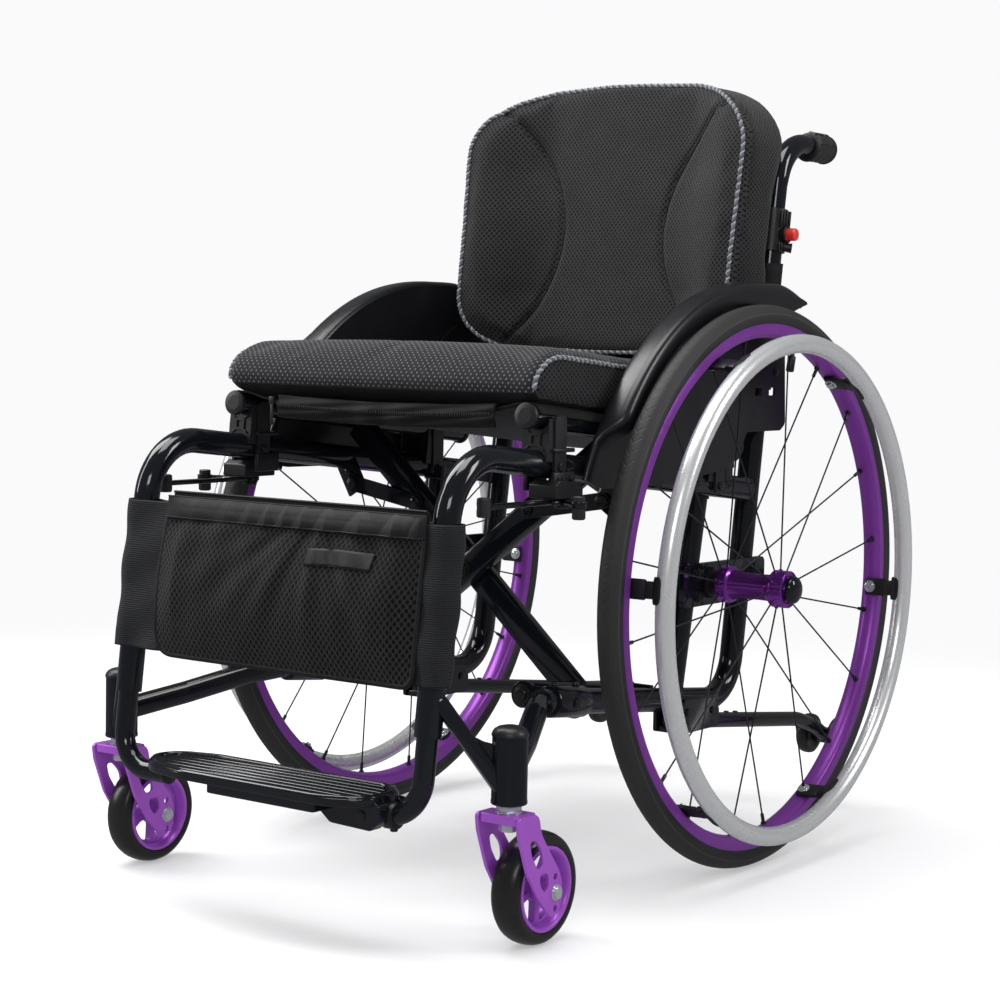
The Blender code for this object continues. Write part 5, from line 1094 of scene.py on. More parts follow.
piece("foot_board", mesh, PAINT, "footplate_body", ["footplate"], edge=0.0024)
mesh = bmesh.new()
screw(mesh, at(0.1405, -0.5200, 0.1240), Vector((0, -1, 0)), 0.0044, 0.0014)
piece("board_screw", mesh, BLACK_STEEL, "footplate_body")
mesh = bmesh.new()
for index in range(6):
    ridge_y = PLATE_FRONT + 0.0150 + index * 0.0106
    to_edge = min(ridge_y - PLATE_FRONT, PLATE_BACK - ridge_y)
    inset = 0.008 + max(0.0, 0.030 - to_edge) * 0.9
    start = at(PLATE_RIGHT + 0.004 + inset * 1.5, ridge_y, PLATE_TOP - 0.0008)
    rod(mesh, start, at(PLATE_LEFT - inset, ridge_y, PLATE_TOP - 0.0008), 0.0032, 18, 0.0016)
piece("foot_ridges", mesh, PAINT, "footplate_body")
print("footrest made")

# %% [markdown]
# The anti-tippers are thinner tubes clamped under the lower tubes, each with a pair of small
# rubber wheels behind the rear wheels.
# %% Anti-tippers
TIP_CHEEK = curved([
    (-0.050, 0.1372), (0.030, 0.1372), (0.030, 0.1560), (0.020, 0.1690), (-0.040, 0.1740),
    (-0.050, 0.1650)], 0.004)

for side, name in SIDES:
    x = side * FRAME_X
    tip = at(x, 0.310, 0.086)
    mesh = bmesh.new()
    path = [at(x, -0.045, 0.150), at(x, 0.0512, 0.1385), at(x, 0.241, 0.1145), at(x, 0.283, 0.100), tip]
    sweep(mesh, rounded(path, 0.090, 8), 0.0085, 24)
    rod(mesh, tip - RIGHTWARD * 0.0126, tip + RIGHTWARD * 0.0126, 0.0095, 28, 0.0008)
    for turn in (-1, 1):
        slab(mesh, [TIP_CHEEK], 0.0042, side_plane(x + turn * 0.0150))
    block(mesh, at(x - 0.0130, -0.048, 0.1374), at(x + 0.0130, 0.028, 0.1440), 0.001)
    piece(f"{name}_tip_tube", mesh, PAINT, f"{name}_frame", [f"{name}_anti_tipper"])
    mesh = bmesh.new()
    for y, z in ((-0.036, 0.160), (0.016, 0.156)):
        for turn in (-1, 1):
            screw(mesh, at(x + turn * 0.0170, y, z), RIGHTWARD * turn, 0.0042, 0.0024)
    for y in (0.075, 0.095):
        place = at(x, y, 0.1385 - 0.1265 * (y - 0.0512))
        rod(mesh, place + UP * 0.0078, place + UP * 0.0098, 0.0030, 20, 0.0007)
    piece(f"{name}_tip_screws", mesh, BLACK_STEEL, f"{name}_frame")
    mesh = bmesh.new()
    for turn in (-1, 1):
        lathe(mesh, [
            (0.0036, 0.0050), (0.0120, 0.0050), (0.0138, 0.0062), (0.0170, 0.0070), (0.0205, 0.0068),
            (0.0228, 0.0050), (0.0235, 0.0022), (0.0235, -0.0022), (0.0228, -0.0050), (0.0205, -0.0068),
            (0.0170, -0.0070), (0.0138, -0.0062), (0.0120, -0.0050), (0.0036, -0.0050)],
            tip + RIGHTWARD * turn * 0.020, "X", 1, 48)
    piece(f"{name}_tip_wheels", mesh, CASTER_RUBBER, f"{name}_tip_wheels",
          [f"{name}_anti_tip_wheels"])
    mesh = bmesh.new()
    rod(mesh, tip - RIGHTWARD * 0.0262, tip + RIGHTWARD * 0.0262, 0.0035, 20, 0)
    for away in (-RIGHTWARD, RIGHTWARD):
        screw(mesh, tip + away * 0.0256, away, 0.0058, 0.0018)
    piece(f"{name}_tip_axle", mesh, ZINC, f"{name}_tip_wheels")
print("anti-tippers made")

# %% [markdown]
# A side guard keeps clothes out of the wheel: a flat panel whose upper edge curls outward
# over the tyre like a fender. A grid is laid along the arc, its rows following the curl, and
# a solidify modifier gives it the thickness of the moulding. Behind the cane the lip grows
# into a flat blade that ends in a point.
# %% Side guards
GUARD_X = 0.2050
GUARD_STEPS = 64
GUARD_SIZE = 0.2934
GUARD_START, GUARD_END = 156.0, 68.9
GUARD_BOLTS = (-0.68 * GUARD_SIZE, -0.20 * GUARD_SIZE)
GUARD_CURL = [
    (0.2050, 0.0300), (0.2050, 0.0160), (0.2050, 0.0080), (0.2056, 0.0038), (0.2074, 0.0012),
    (0.2100, 0.0003), (0.2140, 0), (0.2190, 0), (0.2240, 0.0002), (0.2280, 0.0008), (0.2308, 0.0024),
    (0.2322, 0.0050), (0.2326, 0.0085), (0.2324, 0.0130), (0.2318, 0.0180),
]
GUARD_EDGE = [
    (0.0835, 0.5800), (0.0700, 0.5500), (0.0600, 0.5200), (0.0480, 0.4680), (0.0300, 0.4420),
    (-0.002, 0.4180), (-0.1174, 0.4065), (-0.2350, 0.4080), (-0.2560, 0.4110),
]
GUARD_BRACKET = curved([
    (0.0096, 0.4698), (0.0200, 0.4560), (0.1180, 0.4560), (0.1288, 0.4629), (0.1249, 0.5258),
    (0.1225, 0.5665), (0.0600, 0.5665), (0.0180, 0.5400)], 0.008)


def eased(value, low, high):
    """0 below low, 1 above high and a smooth rise between them."""
    share = max(0.0, min(1.0, (value - low) / (high - low)))
    return share * share * (3 - 2 * share)


def guard_point(share, inset):
    """Y and Z on the fender's arc, moved towards the axle."""
    angle = math.radians(GUARD_START + (GUARD_END - GUARD_START) * share)
    radius = 0.2990 + 0.0250 * share - inset
    radius += 0.0036 * eased(share, 0.80, 0.92) - 0.0075 * eased(share, 0.88, 1.04)
    return radius * math.cos(angle), AXLE_Z + radius * math.sin(angle)


def lip_drop(share):
    """Height of the outer lip: it closes to a point behind the back cane."""
    return (0.0180 + 0.0085 * eased(share, 0.62, 0.90)) * min(1.0, (1.004 - share) / 0.072)


def grid(mesh, columns, rows, form):
    """A grid whose points are placed by a function of two shares from 0 to 1."""
    made = bmesh.ops.create_grid(mesh, x_segments=columns, y_segments=rows, size=1)["verts"]
    for vert in made:
        vert.co = form((vert.co.x + 1) / 2, (vert.co.y + 1) / 2)
    return made


def thicken(made, thickness, offset=-1.0, edge=0.0):
    """A modifier that turns a sheet into a thin solid."""
    shell = made.modifiers.new("thickness", "SOLIDIFY")
    shell.thickness = thickness
    shell.offset = offset
    shell.use_even_offset = True
    if edge:
        soft_edges(made, edge, 50)


def curl_form(side):
    """The fender: along its arc, and across the curl from the panel to the outer lip."""
    def form(share, across):
        row = round(across * (len(GUARD_CURL) - 1))
        x, drop = GUARD_CURL[row]
        if row > 9:
            drop = lip_drop(share) * drop / 0.0180
        if row < 4 and share > 0.80:
            drop *= 1 - 0.8 * (share - 0.80) / 0.20
        x = GUARD_X + (x - GUARD_X) * (0.16 + 0.84 * eased(share, 0.09, 0.155))
        x = x + (0.2330 - x) * 0.80 * max(0.0, (share - 0.90) / 0.10)
        y, z = guard_point(share, drop)
        return at(side * x, y, z)
    return form


for side, name in SIDES:
    mesh = bmesh.new()
    grid(mesh, GUARD_STEPS, len(GUARD_CURL) - 1, curl_form(side))
    fender = piece(f"{name}_fender", mesh, GUARD_PLASTIC, f"{name}_frame",
                   [f"{name}_side_guard"], sharp=60)
    thicken(fender, 0.0028, 0.0, 0.0006)
    mesh = bmesh.new()
    outline = [guard_point(step / GUARD_STEPS, 0.0040) for step in range(round(GUARD_STEPS * 0.90))]
    slab(mesh, [outline + GUARD_EDGE], 0.0030, side_plane(side * GUARD_X))
    slots = [oblong(y, 0.4948, y + 0.0140, 0.5032, 0.0016) for y in (0.0600, 0.0905)]
    slab(mesh, [GUARD_BRACKET, *slots], 0.0032, side_plane(side * 0.2022))
    for y in GUARD_BOLTS:
        z = rail_z(y) + 0.004
        rod(mesh, at(side * 0.2011, y, z), at(side * GUARD_X, y, z), 0.007, 24, 0.0004)
    block(mesh, at(side * 0.1995, -0.045, 0.4180), at(side * 0.2040, 0.020, 0.4560), 0.0015)
    piece(f"{name}_guard_panel", mesh, GUARD_PLASTIC, f"{name}_frame", edge=0.0007)
    mesh = bmesh.new()
    for y in GUARD_BOLTS:
        screw(mesh, at(side * 0.2064, y, rail_z(y) + 0.004), RIGHTWARD * side, 0.0052, 0.0022)
    for y, z in ((0.030, 0.490), (0.1040, 0.5200)):
        screw(mesh, at(side * 0.2036, y, z), RIGHTWARD * side, 0.0040, 0.0018)
    piece(f"{name}_guard_screws", mesh, BLACK_STEEL, f"{name}_frame")
print("guards made")

# %% [markdown]
# Scissor brakes sit under the top rails. The lever swings outward and carries the shoe, a
# short knurled roller, towards the tyre.
# %% Brakes
BRAKE_X, BRAKE_Z = 0.200, 0.399
BRAKE_Y = -math.sqrt(GUARD_SIZE ** 2 - (0.3965 - AXLE_Z) ** 2) - 0.0243
BRAKE_SHAPE = curved([
    (BRAKE_Y - 0.028, 0.4021), (BRAKE_Y + 0.018, 0.4021), (BRAKE_Y + 0.018, 0.412),
    (BRAKE_Y + 0.010, 0.417), (BRAKE_Y - 0.020, 0.4195), (BRAKE_Y - 0.028, 0.415)], 0.002)
CLAMP_BLOCKS = (
    (-0.0134, 0.408, -0.0186, 0.4270), (0.0134, 0.408, 0.0186, 0.4270), (-0.0186, 0.4454, 0.0186, 0.4494))
SHOE_REACH, SHOE_TURN = 0.0476, math.radians(-36)

for side, name in SIDES:
    x = side * BRAKE_X
    mesh = bmesh.new()
    slab(mesh, [BRAKE_SHAPE], 0.031, side_plane(side * 0.1965))
    for start, low, end, high in CLAMP_BLOCKS:
        block(mesh, at(side * RAIL_X + start, BRAKE_Y - 0.022, low),
              at(side * RAIL_X + end, BRAKE_Y + 0.012, high), 0.0012)
    piece(f"{name}_brake_block", mesh, PLASTIC, f"{name}_frame",
          [f"{name}_brake_body"], edge=0.0006)
    mesh = bmesh.new()
    rod(mesh, at(x, BRAKE_Y, 0.3925), at(x, BRAKE_Y, 0.4030), 0.0040, 20, 0)
    rod(mesh, at(x, BRAKE_Y, 0.3961), at(x, BRAKE_Y, 0.3950), 0.0086, 28, 0.0003)
    screw(mesh, at(x, BRAKE_Y, 0.3952), -UP, 0.0072, 0.0032)
    for y in (-0.014, 0.006):
        screw(mesh, at(side * (RAIL_X + 0.0184), BRAKE_Y + y, 0.4200), RIGHTWARD * side, 0.0034, 0.0022)
    piece(f"{name}_brake_screws", mesh, BLACK_STEEL, f"{name}_frame")
    pivot = at(x, BRAKE_Y, BRAKE_Z)
    tip = at(x, -0.425, BRAKE_Z)
    shoe = pivot + Vector((side * math.cos(SHOE_TURN), math.sin(SHOE_TURN), 0)) * SHOE_REACH
    mesh = bmesh.new()
    beam(mesh, pivot, tip, 0.0112, 0.0046, UP, 0.0012)
    beam(mesh, pivot, shoe, 0.0090, 0.0048, UP, 0.0012)
    rod(mesh, pivot - UP * 0.0025, pivot + UP * 0.0025, 0.0098, 36, 0.0008)
    rod(mesh, shoe - UP * 0.0030, shoe + UP * 0.0030, 0.0078, 28, 0.0006)
    beam(mesh, pivot + Vector((side * 0.004, -0.012, 0)), pivot + Vector((side * 0.016, -0.034, 0)),
         0.007, 0.0042, UP, 0.001)
    piece(f"{name}_brake_arm", mesh, PAINT, f"{name}_brake", [f"{name}_brake_lever"])
    mesh = bmesh.new()
    lathe(mesh, [
        (0, -0.0090), (0.0050, -0.0090), (0.0063, -0.0080), (0.0066, -0.0040), (0.0062, 0),
        (0.0066, 0.0040), (0.0063, 0.0080), (0.0050, 0.0090), (0, 0.0090)], tip, "Z", 1, 32)
    lathe(mesh, [
        (0, -0.0140), (0.0052, -0.0140), (0.0060, -0.0132), (0.0060, 0.0072), (0.0052, 0.0080), (0, 0.0080)],
        shoe, "Z", 1, 32)
    for place in disc(0, 0, 0.0059, 16):
        knurl = shoe + Vector((*place, 0))
        rod(mesh, knurl - UP * 0.0128, knurl - UP * 0.0034, 0.0006, 6, 0)
    piece(f"{name}_brake_knob", mesh, GRIP_RUBBER, f"{name}_brake")
print("brakes made")

# %% [markdown]
# Each push handle slides in its cane and is held by a ribbed collar with a red button, which
# goes in through a bored ring. The grip is moulded with two rows of windows above three
# finger ridges.
# %% Push handles
HANDLE_Z = 0.775
GRIP_START = 0.2230
GRIP_LENGTH = 0.0450
GRIP_PROFILE = [(0.0104, 0.0), (0.0146, 0.0), (0.0160, 0.0008), (0.0166, 0.0026)]
GRIP_PROFILE += [(0.0160, 0.0026 + 0.0032 * step) for step in range(1, 14)]
GRIP_PROFILE += [
    (0.0166, GRIP_LENGTH - 0.0030), (0.0160, GRIP_LENGTH - 0.0012), (0.0130, GRIP_LENGTH),
    (0, GRIP_LENGTH), (0, GRIP_LENGTH - 0.0035), (0.0104, GRIP_LENGTH - 0.0035),
]
CANE_RUN = Vector((0, CANE_LEAN, 1)).normalized()

for side, name in SIDES:
    x = side * FRAME_X
    mesh = bmesh.new()
    end = at(x, GRIP_START + GRIP_LENGTH - 0.004, HANDLE_Z + 0.002)
    path = rounded([on_cane(side, 0.56), on_cane(side, HANDLE_Z), end], 0.058, 18)
    sizes = [0.0100 + 0.0022 * eased(place.z, 0.700, 0.740) for place in path]
    sweep(mesh, path, sizes, 28)
    piece(f"{name}_handle_tube", mesh, PAINT, f"{name}_handle", [f"{name}_push_handle"])

    mesh = bmesh.new()
    start = at(x, GRIP_START, HANDLE_Z)
    lathe(mesh, GRIP_PROFILE, start, "Y", 1, 36)
    for vert in mesh.verts:
        reach = vert.co.y - start.y
        drop = start.z - vert.co.z
        on_outside = (vert.co - start).xz.length > 0.0145
        if on_outside and drop > 0.004 and 0.004 < reach < 0.042:
            wave = 0.5 + 0.5 * math.cos((reach - 0.004) / 0.0127 * math.tau)
            vert.co.z += 0.0024 * (1 - wave) * min(1.0, (drop - 0.004) / 0.008)
    windows = []
    for face in mesh.faces:
        middle = face.calc_center_median() - start
        angle = math.degrees(math.atan2(middle.z, middle.x * side))
        if 0.0152 < math.hypot(middle.x, middle.z) and (12 < angle < 48 or 58 < angle < 94):
            for low in (0.0040, 0.0160, 0.0280):
                if low < middle.y < low + 0.0098:
                    windows.append(face)
    bmesh.ops.inset_region(mesh, faces=windows, thickness=0.0008, depth=-0.0020, use_even_offset=True)
    piece(f"{name}_grip", mesh, GRIP_RUBBER, f"{name}_handle", [f"{name}_handle_grip"], sharp=35)

    low = on_cane(side, 0.653)
    high = on_cane(side, 0.700)
    mesh = bmesh.new()
    length = (high - low).length
    turn = CANE_RUN.to_track_quat("Z", "Y").to_matrix().to_4x4()
    outline = round_part(0, 0, 0.0158, range(45, 316, 10)) + [(0.0158, -0.0150), (0.0158, 0.0070)]
    outline = [(side * across, up) for across, up in outline]
    slab(mesh, [outline, disc(0, 0, 0.0106, 32)], length, Matrix.Translation((low + high) / 2) @ turn)
    for index in range(4):
        along = low + Vector((side * 0.0172, -0.0136 + 0.0062 * index, 0))
        for start, end in ((0.0020, 0.0102), (0.0282, length - 0.0020)):
            beam(mesh, along + CANE_RUN * start, along + CANE_RUN * end, 0.0032, 0.0026, RIGHTWARD, 0.0008)
    button = at(0, cane_y(0.672), 0.672)
    lathe(mesh, [(0.0074, 0.1852), (0.0096, 0.1852), (0.0096, 0.1898), (0.0089, 0.1905), (0.0074, 0.1905)],
          button, "X", side, 36)
    rod(mesh, at(side * 0.180, 0.1440, 0.659), at(side * 0.1930, 0.1520, 0.6570), 0.0034, 20, 0.0004, tip=0.0056)
    piece(f"{name}_collar", mesh, PLASTIC, f"{name}_frame",
          [f"{name}_height_clamp"], edge=0.0006)
    mesh = bmesh.new()
    lathe(mesh, [
        (0, 0.2009), (0.0052, 0.2008), (0.0065, 0.2001), (0.0070, 0.1988), (0.0070, 0.1901), (0, 0.1901)],
        button, "X", side, 36)
    piece(f"{name}_red_button", mesh, RED, f"{name}_button", [f"{name}_height_button"])
print("push handles made")

# %% [markdown]
# The back cushion is covered in spacer mesh: charcoal cloth with small dark diamond holes in
# staggered rows. The seat's cloth has light dots instead. Both patterns are drawn from the
# chair's own coordinates, so their pitch is real. Two crossing sets of waves make the rows.
# %% Fabrics
def fabric(name, colour, roughness=0.9, sheen=0.08):
    """Cloth: hardly any gloss, and a soft sheen where it turns away."""
    made = Shader(name, colour, roughness)
    made.surface.inputs["Specular IOR Level"].default_value = 0.22
    made.surface.inputs["Sheen Weight"].default_value = sheen
    made.surface.inputs["Sheen Roughness"].default_value = 0.4
    return made


def staggered(across, along, pitch_across, pitch_along, low, high):
    """1 inside diamond cells that are set in staggered rows, 0 between them."""
    first = ((across / pitch_across + along / pitch_along) * math.pi).wave()
    second = ((across / pitch_across - along / pitch_along) * math.pi).wave()
    return (first * second).size().step(low, high)


def mesh_cloth(name, dark, light, hole, pitch, turned=False, shares=(0.30, 0.75), depth=0.0006):
    """Cloth with small staggered holes, on a plane that faces forward, or sideways if turned."""
    made = fabric(name, light)
    x, y, z = made.axes()
    cells = staggered(y if turned else x, z, pitch[0], pitch[1], *shares)
    made.colour(made.blend(cells, made.blend(made.grain(35.0, 4.0), dark, light), hole))
    made.relief(1 - cells, depth, 0.6)
    return made.material


def dotted_cloth(name):
    """The seat's black cloth with staggered light dots."""
    made = fabric(name, (0.012, 0.012, 0.014))
    x, _, _ = made.axes()
    along = made.node("ShaderNodeAttribute", {"attribute_name": "unrolled"}, {}, "Fac")
    dots = staggered(x, along, 0.0066, 0.0066, 0.72, 0.95)
    ground = made.blend(made.grain(240.0, 2.0), (0.006, 0.006, 0.007), (0.021, 0.021, 0.024))
    made.colour(made.blend(dots, ground, (0.115, 0.115, 0.125)))
    made.relief(dots + made.grain(700.0) * 0.5, 0.0005, 0.5)
    return made.material


def webbing(name, dark, light):
    """Woven tape with fine ribs across it."""
    made = fabric(name, dark, 0.7, 0.05)
    x, _, z = made.axes()
    ribs = (z * (math.tau / 0.0021)).wave() * 0.5 + 0.5
    twill = ((x + z * 0.5) * (math.tau / 0.0016)).wave() * 0.5 + 0.5
    made.colour(made.blend(ribs * 0.7 + twill * 0.3, dark, light))
    made.relief(ribs + twill * 0.4, 0.0005, 0.8)
    return made.material


def plain_weave(name, colour, roughness=0.6):
    """Tight nylon with a barely visible weave."""
    made = fabric(name, colour, roughness, 0.03)
    x, _, z = made.axes()
    weave = (x * (math.tau / 0.0011)).wave() * (z * (math.tau / 0.0011)).wave()
    made.relief(weave * 0.5 + made.grain(120.0, 3.0), 0.0003, 0.5)
    return made.material


BACK_MESH = mesh_cloth(
    "back_mesh", (0.018, 0.018, 0.019), (0.033, 0.033, 0.035), (0.0040, 0.0040, 0.0045), (0.0052, 0.0064))
SIDE_MESH = mesh_cloth(
    "side_mesh", (0.012, 0.012, 0.013), (0.024, 0.024, 0.027), (0.002, 0.002, 0.002), (0.0074, 0.0058), True)
DOTTED = dotted_cloth("seat_dots")
WEBBING = webbing("sleeve_webbing", (0.0045, 0.0048, 0.0060), (0.0140, 0.0150, 0.0180))
NYLON = plain_weave("black_nylon", (0.0045, 0.0045, 0.0050))
SATIN = plain_weave("satin_band", (0.0060, 0.0060, 0.0070), 0.38)
POCKET = mesh_cloth(
    "pocket_mesh", (0.009, 0.009, 0.010), (0.016, 0.016, 0.018), (0.0012, 0.0012, 0.0012),
    (0.0062, 0.0080), shares=(0.22, 0.50), depth=0.0010)
PIPING = moulded("piping_yarn", (0.16, 0.17, 0.185), (0.25, 0.265, 0.29), 0.8, 1500.0)
DARK_YARN = moulded("dark_yarn", (0.050, 0.052, 0.058), (0.085, 0.088, 0.098), 0.8, 1500.0)
print("fabrics ready")

# %% [markdown]
# A cushion is foam in a tight cover. We map a cube to its form: two of the cube's directions
# make the outline, the third is the thickness, and the edge between outline and faces is
# rounded. A remesh turns that into even small quads, which then swell a little in a cloth
# simulation. Without the simulation the covers would look as hard as plastic.
# %% Swelling a cushion
def on_corner(a, b, half_a, half_b, top, low=None, power=2.0):
    """A point of a rectangle's outline moved to its rounded corner, with the way out there.

    top and low are the reaches of the upper and the lower corners; a lower power cuts the
    upper corners flatter.
    """
    low = low or top
    core_b = max(low[1] - half_b, min(half_b - top[1], b))
    reach, power = (top, power) if b > core_b else (low, 2.0)
    core_a = max(reach[0] - half_a, min(half_a - reach[0], a))
    u, v = (a - core_a) / reach[0], (b - core_b) / reach[1]
    size = (abs(u) ** power + abs(v) ** power) ** (1 / power)
    u, v = u / size, v / size
    out = Vector([
        math.copysign(abs(part) ** (power - 1), part) / limit for part, limit in zip((u, v), reach)])
    return Vector((core_a + u * reach[0], core_b + v * reach[1])), out.normalized()


def apply_modifiers(made):
    """Bake the modifiers of an object into its mesh."""
    bpy.context.view_layer.update()
    graph = bpy.context.evaluated_depsgraph_get()
    data = bpy.data.meshes.new_from_object(made.evaluated_get(graph))
    made.modifiers.clear()
    made.data = data


def cushion(name, outline, half, edge, place, voxel):
    """A cushion from a cube: outline(a, b) gives its border, place(depth, p, q) its points."""
    mesh = bmesh.new()
    bmesh.ops.create_cube(mesh, size=2)
    bmesh.ops.subdivide_edges(mesh, edges=mesh.edges[:], cuts=39, use_grid_fill=True)
    for vert in mesh.verts:
        depth, a, b = (math.sin(value * math.pi / 2) for value in vert.co)
        size = max(abs(a), abs(b))
        if size < 1e-6:
            spot, out = Vector((0, 0)), Vector((0, 0))
        else:
            spot, out = outline(a / size, b / size)
        if abs(depth) > 0.999999:
            vert.co = place(math.copysign(half, depth), *((spot - out * edge) * size))
        else:
            over = max(0.0, (abs(depth) * half - half + edge) / edge) * math.pi / 2
            far = min(abs(depth) * half, half - edge) + edge * math.sin(over)
            vert.co = place(math.copysign(far, depth), *(spot - out * edge * (1 - math.cos(over))))
    bmesh.ops.recalc_face_normals(mesh, faces=mesh.faces)
    data = bpy.data.meshes.new(name)
    mesh.to_mesh(data)
    mesh.free()
    made = placed(name, data)
    skin = made.modifiers.new("skin", "REMESH")
    skin.mode = "VOXEL"
    skin.voxel_size = voxel
    apply_modifiers(made)
    return made


def swell(made, pressure, cap, frames=20):
    """Inflate the skin a little, and never more than the cap."""
    rest = [vert.co.copy() for vert in made.data.vertices]
    cloth = made.modifiers.new("swell", "CLOTH")
    cloth.settings.quality = 6
    cloth.settings.mass = 0.25
    cloth.settings.tension_stiffness = 30
    cloth.settings.compression_stiffness = 20
    cloth.settings.bending_stiffness = 2.0
    cloth.settings.use_pressure = True
    cloth.settings.uniform_pressure_force = pressure
    cloth.settings.effector_weights.gravity = 0
    cloth.point_cache.frame_start = 1
    cloth.point_cache.frame_end = frames
    for number in range(1, frames + 1):
        bpy.context.scene.frame_set(number)
    apply_modifiers(made)
    bpy.context.scene.frame_set(1)
    for vert, start in zip(made.data.vertices, rest):
        step = vert.co - start
        if step.length > cap:
            vert.co = start + step * (cap / step.length)


def refine(made):
    """One subdivision, for a smooth silhouette."""
    finer = made.modifiers.new("finer", "SUBSURF")
    finer.levels = 1
    finer.render_levels = 1
    apply_modifiers(made)
    made.data.shade_smooth()


print("cushion helpers ready")

# %% [markdown]
# A braid of light and dark yarn covers the seams of the cushions. A path is laid along the
# edge, snapped to the skin, and the strands are wound round it.
# %% Piping
def on_skin(made, path, lift):
    """A path moved to the nearest points of a skin, and lifted off it."""
    tree = BVHTree.FromPolygons(
        [vert.co for vert in made.data.vertices], [face.vertices for face in made.data.polygons])
    places = []
    for place in path:
        near, normal, _, _ = tree.find_nearest(place)
        places.append(near + normal * lift)
    return places


def evened(path, spacing, closed=False):
    """Points at an even spacing along a path."""
    points = path + path[:1] if closed else path
    made = [points[0]]
    left = spacing
    for before, after in zip(points, points[1:]):
        run = (after - before).length
        covered = 0.0
        while run - covered >= left and run > 0:
            covered += left
            made.append(before.lerp(after, covered / run))
            left = spacing
        left -= run - covered
    return made


def smoothed(path, rounds, closed=False):
    """A path relaxed a few times."""
    for _ in range(rounds):
        last = len(path) - 1
        fresh = []
        for index, place in enumerate(path):
            if not closed and index in (0, last):
                fresh.append(place)
            else:
                fresh.append((path[index - 1] + place * 2 + path[(index + 1) % len(path)]) / 4)
        path = fresh
    return path


def braid(mesh, path, radius, strand, pitch, phase, closed=False):
    """One strand wound round a path."""
    frames = carriers(path, closed)
    turns = len(path) * (path[1] - path[0]).length / pitch
    if closed:
        turns = round(turns)
    wound = []
    for index, carrier in enumerate(frames):
        angle = math.tau * (turns * index / len(frames) + phase)
        wound.append(carrier @ Vector((radius * math.cos(angle), radius * math.sin(angle), 0)))
    sweep(mesh, wound, strand, 6, closed=closed)


def flattens(made):
    """Give a soft piece a mesh of its own."""
    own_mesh(made)
    return made


def yarns(name, path, closed=False):
    """A light strand and a dark strand on a seam."""
    for word, phase, yarn in (("light", 0.0, PIPING), ("dark", 0.5, DARK_YARN)):
        mesh = bmesh.new()
        braid(mesh, path, 0.0012, 0.0016, 0.0078, phase, closed)
        flattens(piece(f"{name}_{word}", mesh, yarn, "left_frame"))


print("piping helpers ready")

# %% [markdown]
# The seat cushion is thicker at the back and rolls down softly at the front. Its outline is
# drawn in the side view. The cover is dotted on top and dark below the piping.
# %% Seat cushion
SEAT_HALF = 0.1995
SEAT_FRONT_Y = -0.3465
SEAT_BACK_Y = 0.0520
SEAT_RUN = 0.1992
SEAT_RISE = 0.0235


def seat_top(y):
    """Height of the cushion's upper face."""
    return 0.5176 - 0.074 * y


def seat_outline(a, b):
    """The side view's border, from the middle of the cushion."""
    corners = ((0.046, 0.0340), (0.018, 0.0122), 1.72) if a < 0 else ((0.016, 0.0340), (0.016, 0.0122))
    return on_corner(a * SEAT_RUN, b * SEAT_RISE, SEAT_RUN, SEAT_RISE, *corners)


def seat_place(depth, along, up):
    """From the outline to the chair: the top slopes less than the bottom."""
    y = (SEAT_FRONT_Y + SEAT_BACK_Y) / 2 + along
    low = seat_z(y) + 0.0125
    crown = 0.0035 * max(0.0, 1 - (depth / SEAT_HALF) ** 2) * max(0.0, up / SEAT_RISE)
    return at(depth, y, low + (seat_top(y) - low) * (up / SEAT_RISE + 1) / 2 + crown)


def dress(made, cloths, choose):
    """Several cloths on one skin: a function gives each face the number of its cloth."""
    made.data.materials.clear()
    for cloth in cloths:
        made.data.materials.append(cloth)
    for face in made.data.polygons:
        face.material_index = choose(face.center, face.normal)


def settle(made, node):
    """Let a cushion ride on the chair, stand for its node and have a mesh of its own."""
    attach(made, "left_frame")
    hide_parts(node)
    flattens(made)


def unrolled(place):
    """The length along the seat's cover, from the middle of its top round the front edge."""
    y, z = place.y - AXLE_Y, place.z
    if y > SEAT_FRONT_Y + 0.050:
        return y
    return SEAT_FRONT_Y + 0.050 - 0.040 * math.atan2(SEAT_FRONT_Y + 0.050 - y, z - 0.5105)


seat = cushion("seat_pad", seat_outline, SEAT_HALF, 0.011, seat_place, 0.005)
swell(seat, 3.0, 0.005)
refine(seat)
lengths = seat.data.attributes.new("unrolled", "FLOAT", "POINT")
for vert, length in zip(seat.data.vertices, lengths.data):
    length.value = unrolled(vert.co)


def seat_cover(centre, normal):
    """The number of the cloth: dots on top, mesh at the sides and nylon below."""
    y = centre.y - AXLE_Y
    drop = seat_top(y) - centre.z
    front = y < -0.310
    if abs(normal.x) > 0.72 and drop > 0.004:
        return 1
    return 2 if (drop > 0.020 and not front) or (centre.z < 0.5010 and front) else 0


dress(seat, [DOTTED, SIDE_MESH, NYLON], seat_cover)
settle(seat, "seat_cushion")

for side, name in SIDES:
    border = [seat_outline(-1.0, -0.6 + 1.6 * step / 20) for step in range(20)]
    border += [seat_outline(-1.0 + 1.98 * step / 80, 1.0) for step in range(80)]
    path = [seat_place(side * (SEAT_HALF - 0.003), *(spot - out * 0.0035)) for spot, out in border]
    path = smoothed(evened(on_skin(seat, evened(path, 0.004), 0.0010), 0.0022), 6)
    yarns(f"{name}_seat_piping", path)
print("seat cushion made with", len(seat.data.vertices), "points")

